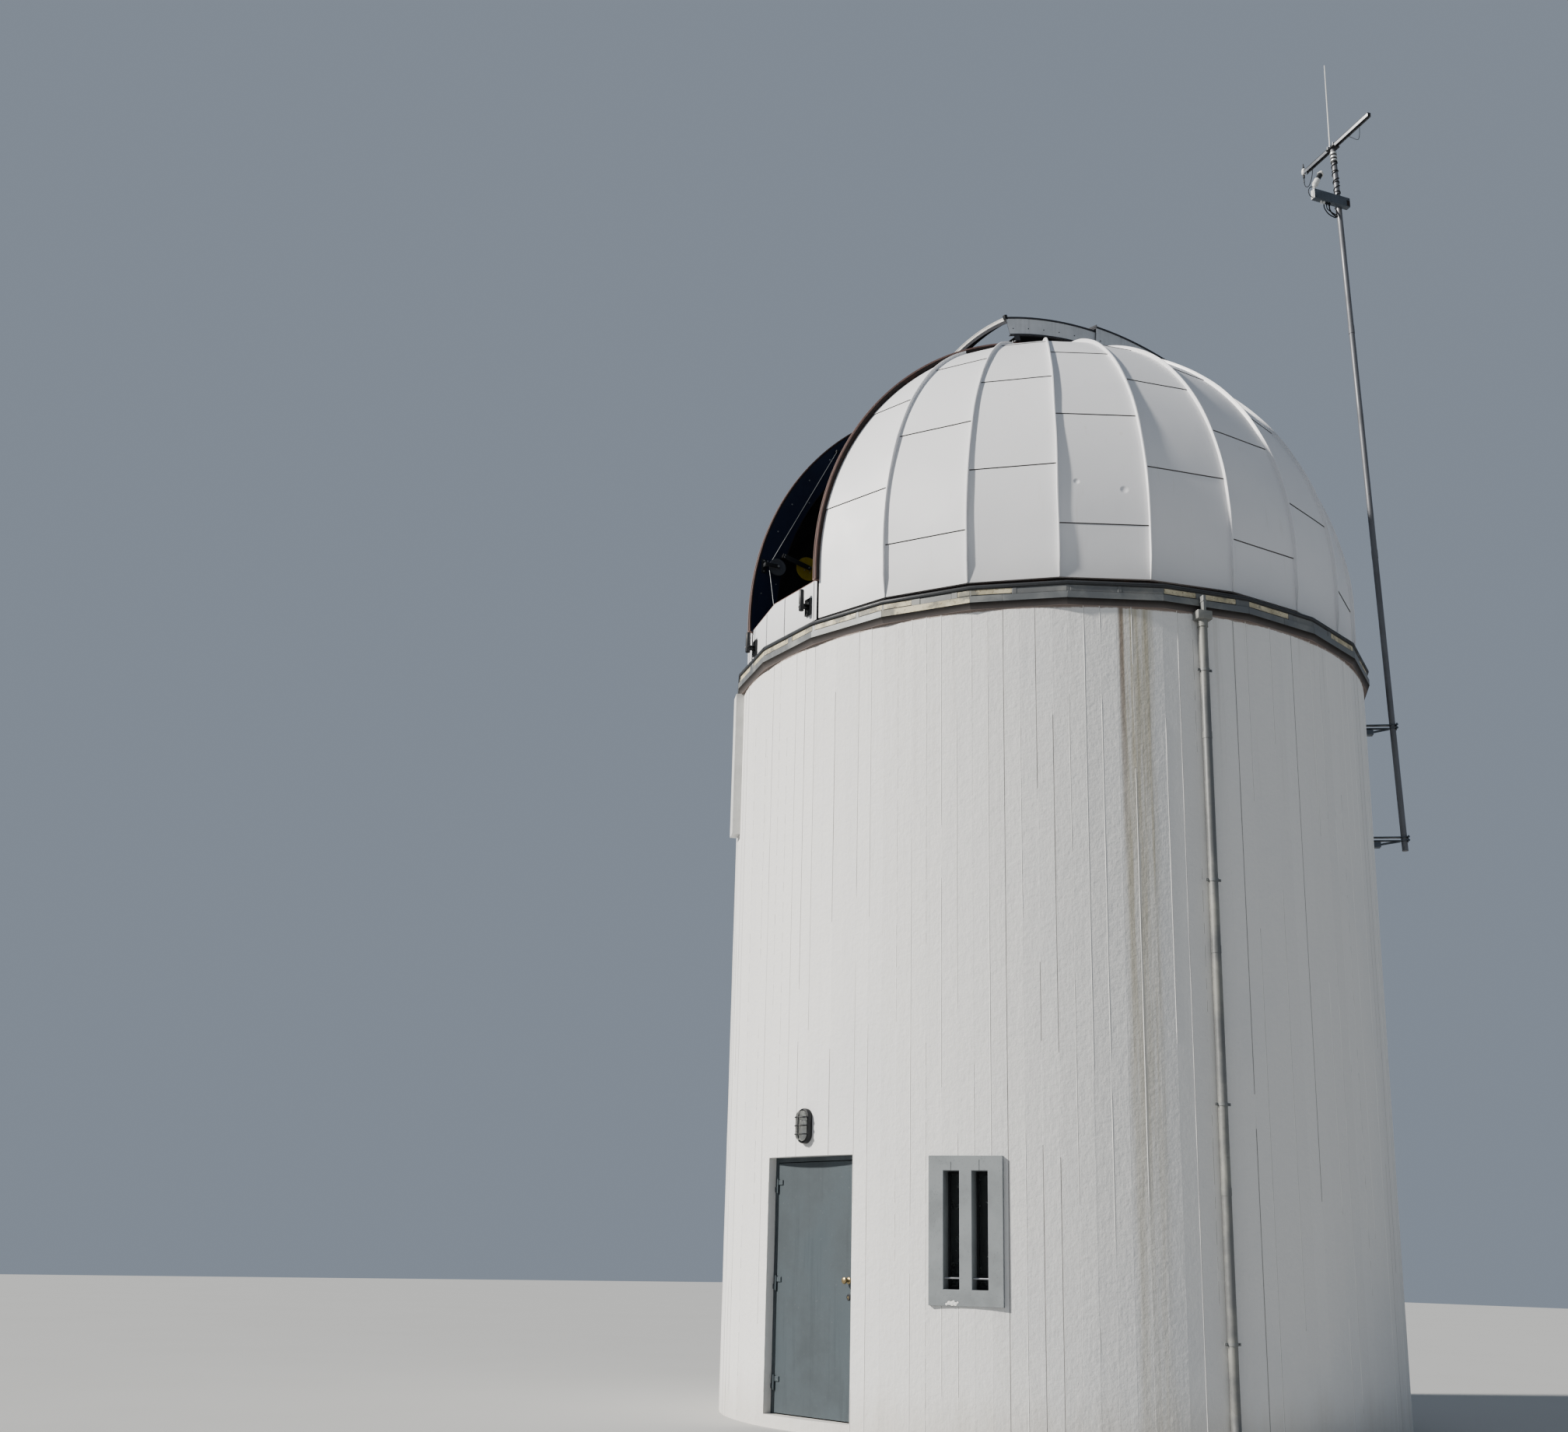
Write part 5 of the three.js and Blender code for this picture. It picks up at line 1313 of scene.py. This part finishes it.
# Drive disc, its arm, the pulley and the shutter cable
def drive():
    place = in_plane(DISC_ELEVATION)
    disc = Piece(YELLOW, STEEL, at=place @ shift(DISC_X, -DISC_R, 0) @ FACING_SIDE)
    disc.lathe([
        (0, -0.013), (0.022, -0.013), (0.024, -0.007), (0.108, -0.005), (0.114, -0.007), (0.125, -0.0065),
        (0.125, 0.0065), (0.114, 0.007), (0.108, 0.005), (0.024, 0.007), (0.024, 0.0245), (0, 0.0245),
    ], 48)
    for a in around(4, 0.5):
        x, y = 0.045 * math.cos(a), 0.045 * math.sin(a)
        disc.rod((x, y, 0.005), (x, y, 0.011), 0.007, 6, 1)
    disc.finish("disc", "dome", "drive_disc", DOME_TURN)
    arm = Piece(DARK, STEEL, at=place)
    arm.box((-0.686, -2.74, -0.025), (-0.676, -DISC_R, 0.025), 0.0015)
    arm.rod((-0.686, -DISC_R, 0), (-0.676, -DISC_R, 0), 0.0252, 28, bevel=0.001)
    arm.rod((-0.677, -DISC_R, 0), (-0.668, -DISC_R, 0), 0.009, 6, 1)
    arm.box((GIRDER_FACE, -2.74, -0.025), (-0.686, -2.695, 0.025), 0.002)
    for z in (-0.012, 0.012):
        arm.rod((-0.677, -2.718, z), (-0.67, -2.718, z), 0.006, 6, 1)
    arm.finish("disc_arm", "dome", "drive_bracket", DOME_TURN)


def shutter_cable():
    x, y, z = PULLEY
    wheel = Piece(SHEAVE, DARK, STEEL)
    rim = [(0.03, -0.009), (0.032, -0.005), (0.068, -0.005), (0.07, -0.009)]
    rim += [(0.09, -0.009), (0.09, -0.006), (0.078, -0.0042)]
    rim += [(r, -up) for r, up in reversed(rim)]
    wheel.lathe([(0, -0.009), *rim, (0, 0.009)], 40, 0, shift(*PULLEY) @ FACING_SIDE)
    wheel.rod((GIRDER_FACE, y, z), (-0.674, y, z), 0.01, 16, 2)
    for low, high, bevel in (
        ((-0.682, -2.835, z - 0.02), (-0.674, y + 0.012, z + 0.02), 0.0015),
        ((-0.7347, -2.835, z - 0.02), (-0.682, -2.805, z + 0.02), 0.0015),
        ((GIRDER_FACE, -2.85, z - 0.075), (-0.7347, -2.8, z + 0.075), 0.002),
    ):
        wheel.box(low, high, bevel, 1)
    wheel.rod((-0.6745, y, z), (-0.667, y, z), 0.013, 6, 2)
    for up in (-0.058, 0.058):
        wheel.rod((-0.7347, -2.825, z + up), (-0.729, -2.825, z + up), 0.008, 6, 2)
    wheel.finish("cable_sheave", "dome", "cable_pulley", DOME_TURN)
    cable = Piece(WIRE, DARK)
    top = in_slit(-0.738, 2.878, 45)

    def round_it(angle, aside=0.0):
        a = math.radians(angle)
        return Vector((x + aside, y + CABLE_REACH * math.cos(a), z + CABLE_REACH * math.sin(a)))

    leaving = round_it(173.9)
    path = [top, *(round_it(a) for a in (152.5, 158, 163, 168)), leaving]
    cable.tube(path + [leaving + Vector((0, -0.005, -0.05)), (-0.3, -2.86, 7.3)], 0.0035)
    cable.tube([top + Vector((0.03, 0.0, 0.0)), round_it(150, 0.004), round_it(156, 0.004)], 0.003)
    cable.box((GIRDER_FACE, top.y - 0.012, top.z - 0.012), (-0.7, top.y + 0.012, top.z + 0.012), 0.002, 1)
    cable.box((-0.32, -2.941, 7.28), (-0.28, -2.85, 7.32), 0.002, 1)
    cable.finish("shutter_cables", "dome", "shutter_cable", DOME_TURN)


wall_pieces()
dome_panels()
rear_strip()
apron()
for name, side in SIDES:
    girder(name, side)
# Lip bars of the leaves: inner and outer radius, first and last elevation, material
FRONT_LIP = ((-0.026, 0.006, 0.0, 0.17, 2), (-0.06, -0.026, 0.01, 0.12, 1))
REAR_LIP = ((-0.018, 0.025, 0.0, 0.12, 1),)
leaf("front_leaf", "shutter_front", FRONT_LEAF, (75, 127), 0.754, FRONT_LIP, "shutter_front_leaf", FRONT_OPEN)
leaf("rear_leaf", "shutter_rear", REAR_LEAF, (95, 145), 0.772, REAR_LIP, "shutter_rear_leaf")
for name, side in SIDES:
    stop(name, side)
drive()
shutter_cable()
eaves()
door()
window()
lamp()
downpipe()
mast()
dress("floor_slab", SLAB)
dress("roller_ring", DARK)
dress("dome_base_ring", RUST)
dress("cable_trunking", PLASTIC, 0.004)


# Stage
FLOOR_REACH = 60.0
SKY = (0.66, 0.75, 0.88, 1)
SKY_STRENGTH = 0.33
SUN_STRENGTH = 4.75
SUN_COLOR = (1.0, 0.96, 0.9)
SUN_SIZE, SUN_AZ, SUN_UP = 3.5, -28.0, 33  # degrees
EYE = (10.957, -12.56, 1.37)
LENS = 39.0
HEADING, PITCH, ROLL = 50.142, 14.705, 1.367  # degrees


def studio():
    mesh = bpy.data.meshes.new("floor")
    corners = [(FLOOR_REACH * x, FLOOR_REACH * y, 0) for x, y in ((-1, -1), (1, -1), (1, 1), (-1, 1))]
    mesh.from_pydata(corners, [], [(0, 1, 2, 3)])
    floor = bpy.data.objects.new("floor", mesh)
    bpy.context.scene.collection.objects.link(floor)
    s = Shader("floor_grey", (0.5, 0.5, 0.49), 0.9)
    s.patches(s.noise(0.4, 4.0), 0.4, 0.7, 0.12, (0.42, 0.42, 0.4))
    mesh.materials.append(s.done())
    world = bpy.data.worlds.new("studio")
    bpy.context.scene.world = world
    world.use_nodes = True
    sky = world.node_tree.nodes["Background"]
    sky.inputs[0].default_value = SKY
    sky.inputs[1].default_value = SKY_STRENGTH
    key = bpy.data.lights.new("key", "SUN")
    key.energy = SUN_STRENGTH
    key.angle = math.radians(SUN_SIZE)
    key.color = SUN_COLOR
    sun = bpy.data.objects.new("key", key)
    bpy.context.scene.collection.objects.link(sun)
    towards = polar(1.0, SUN_AZ, math.tan(math.radians(SUN_UP)))
    sun.rotation_euler = towards.to_track_quat("Z", "Y").to_euler()
    bpy.context.scene.view_settings.view_transform = "AgX"
    bpy.context.scene.view_settings.look = "AgX - Medium High Contrast"


def camera():
    data = bpy.data.cameras.new("camera")
    data.lens = LENS
    data.shift_y = 0.06
    data.clip_end = 300
    obj = bpy.data.objects.new("camera", data)
    bpy.context.scene.collection.objects.link(obj)
    tilt = Matrix.Rotation(math.pi / 2 + math.radians(PITCH), 4, "X")
    obj.matrix_world = shift(*EYE) @ turn(HEADING) @ tilt @ turn(ROLL)
    bpy.context.scene.camera = obj


studio()
camera()
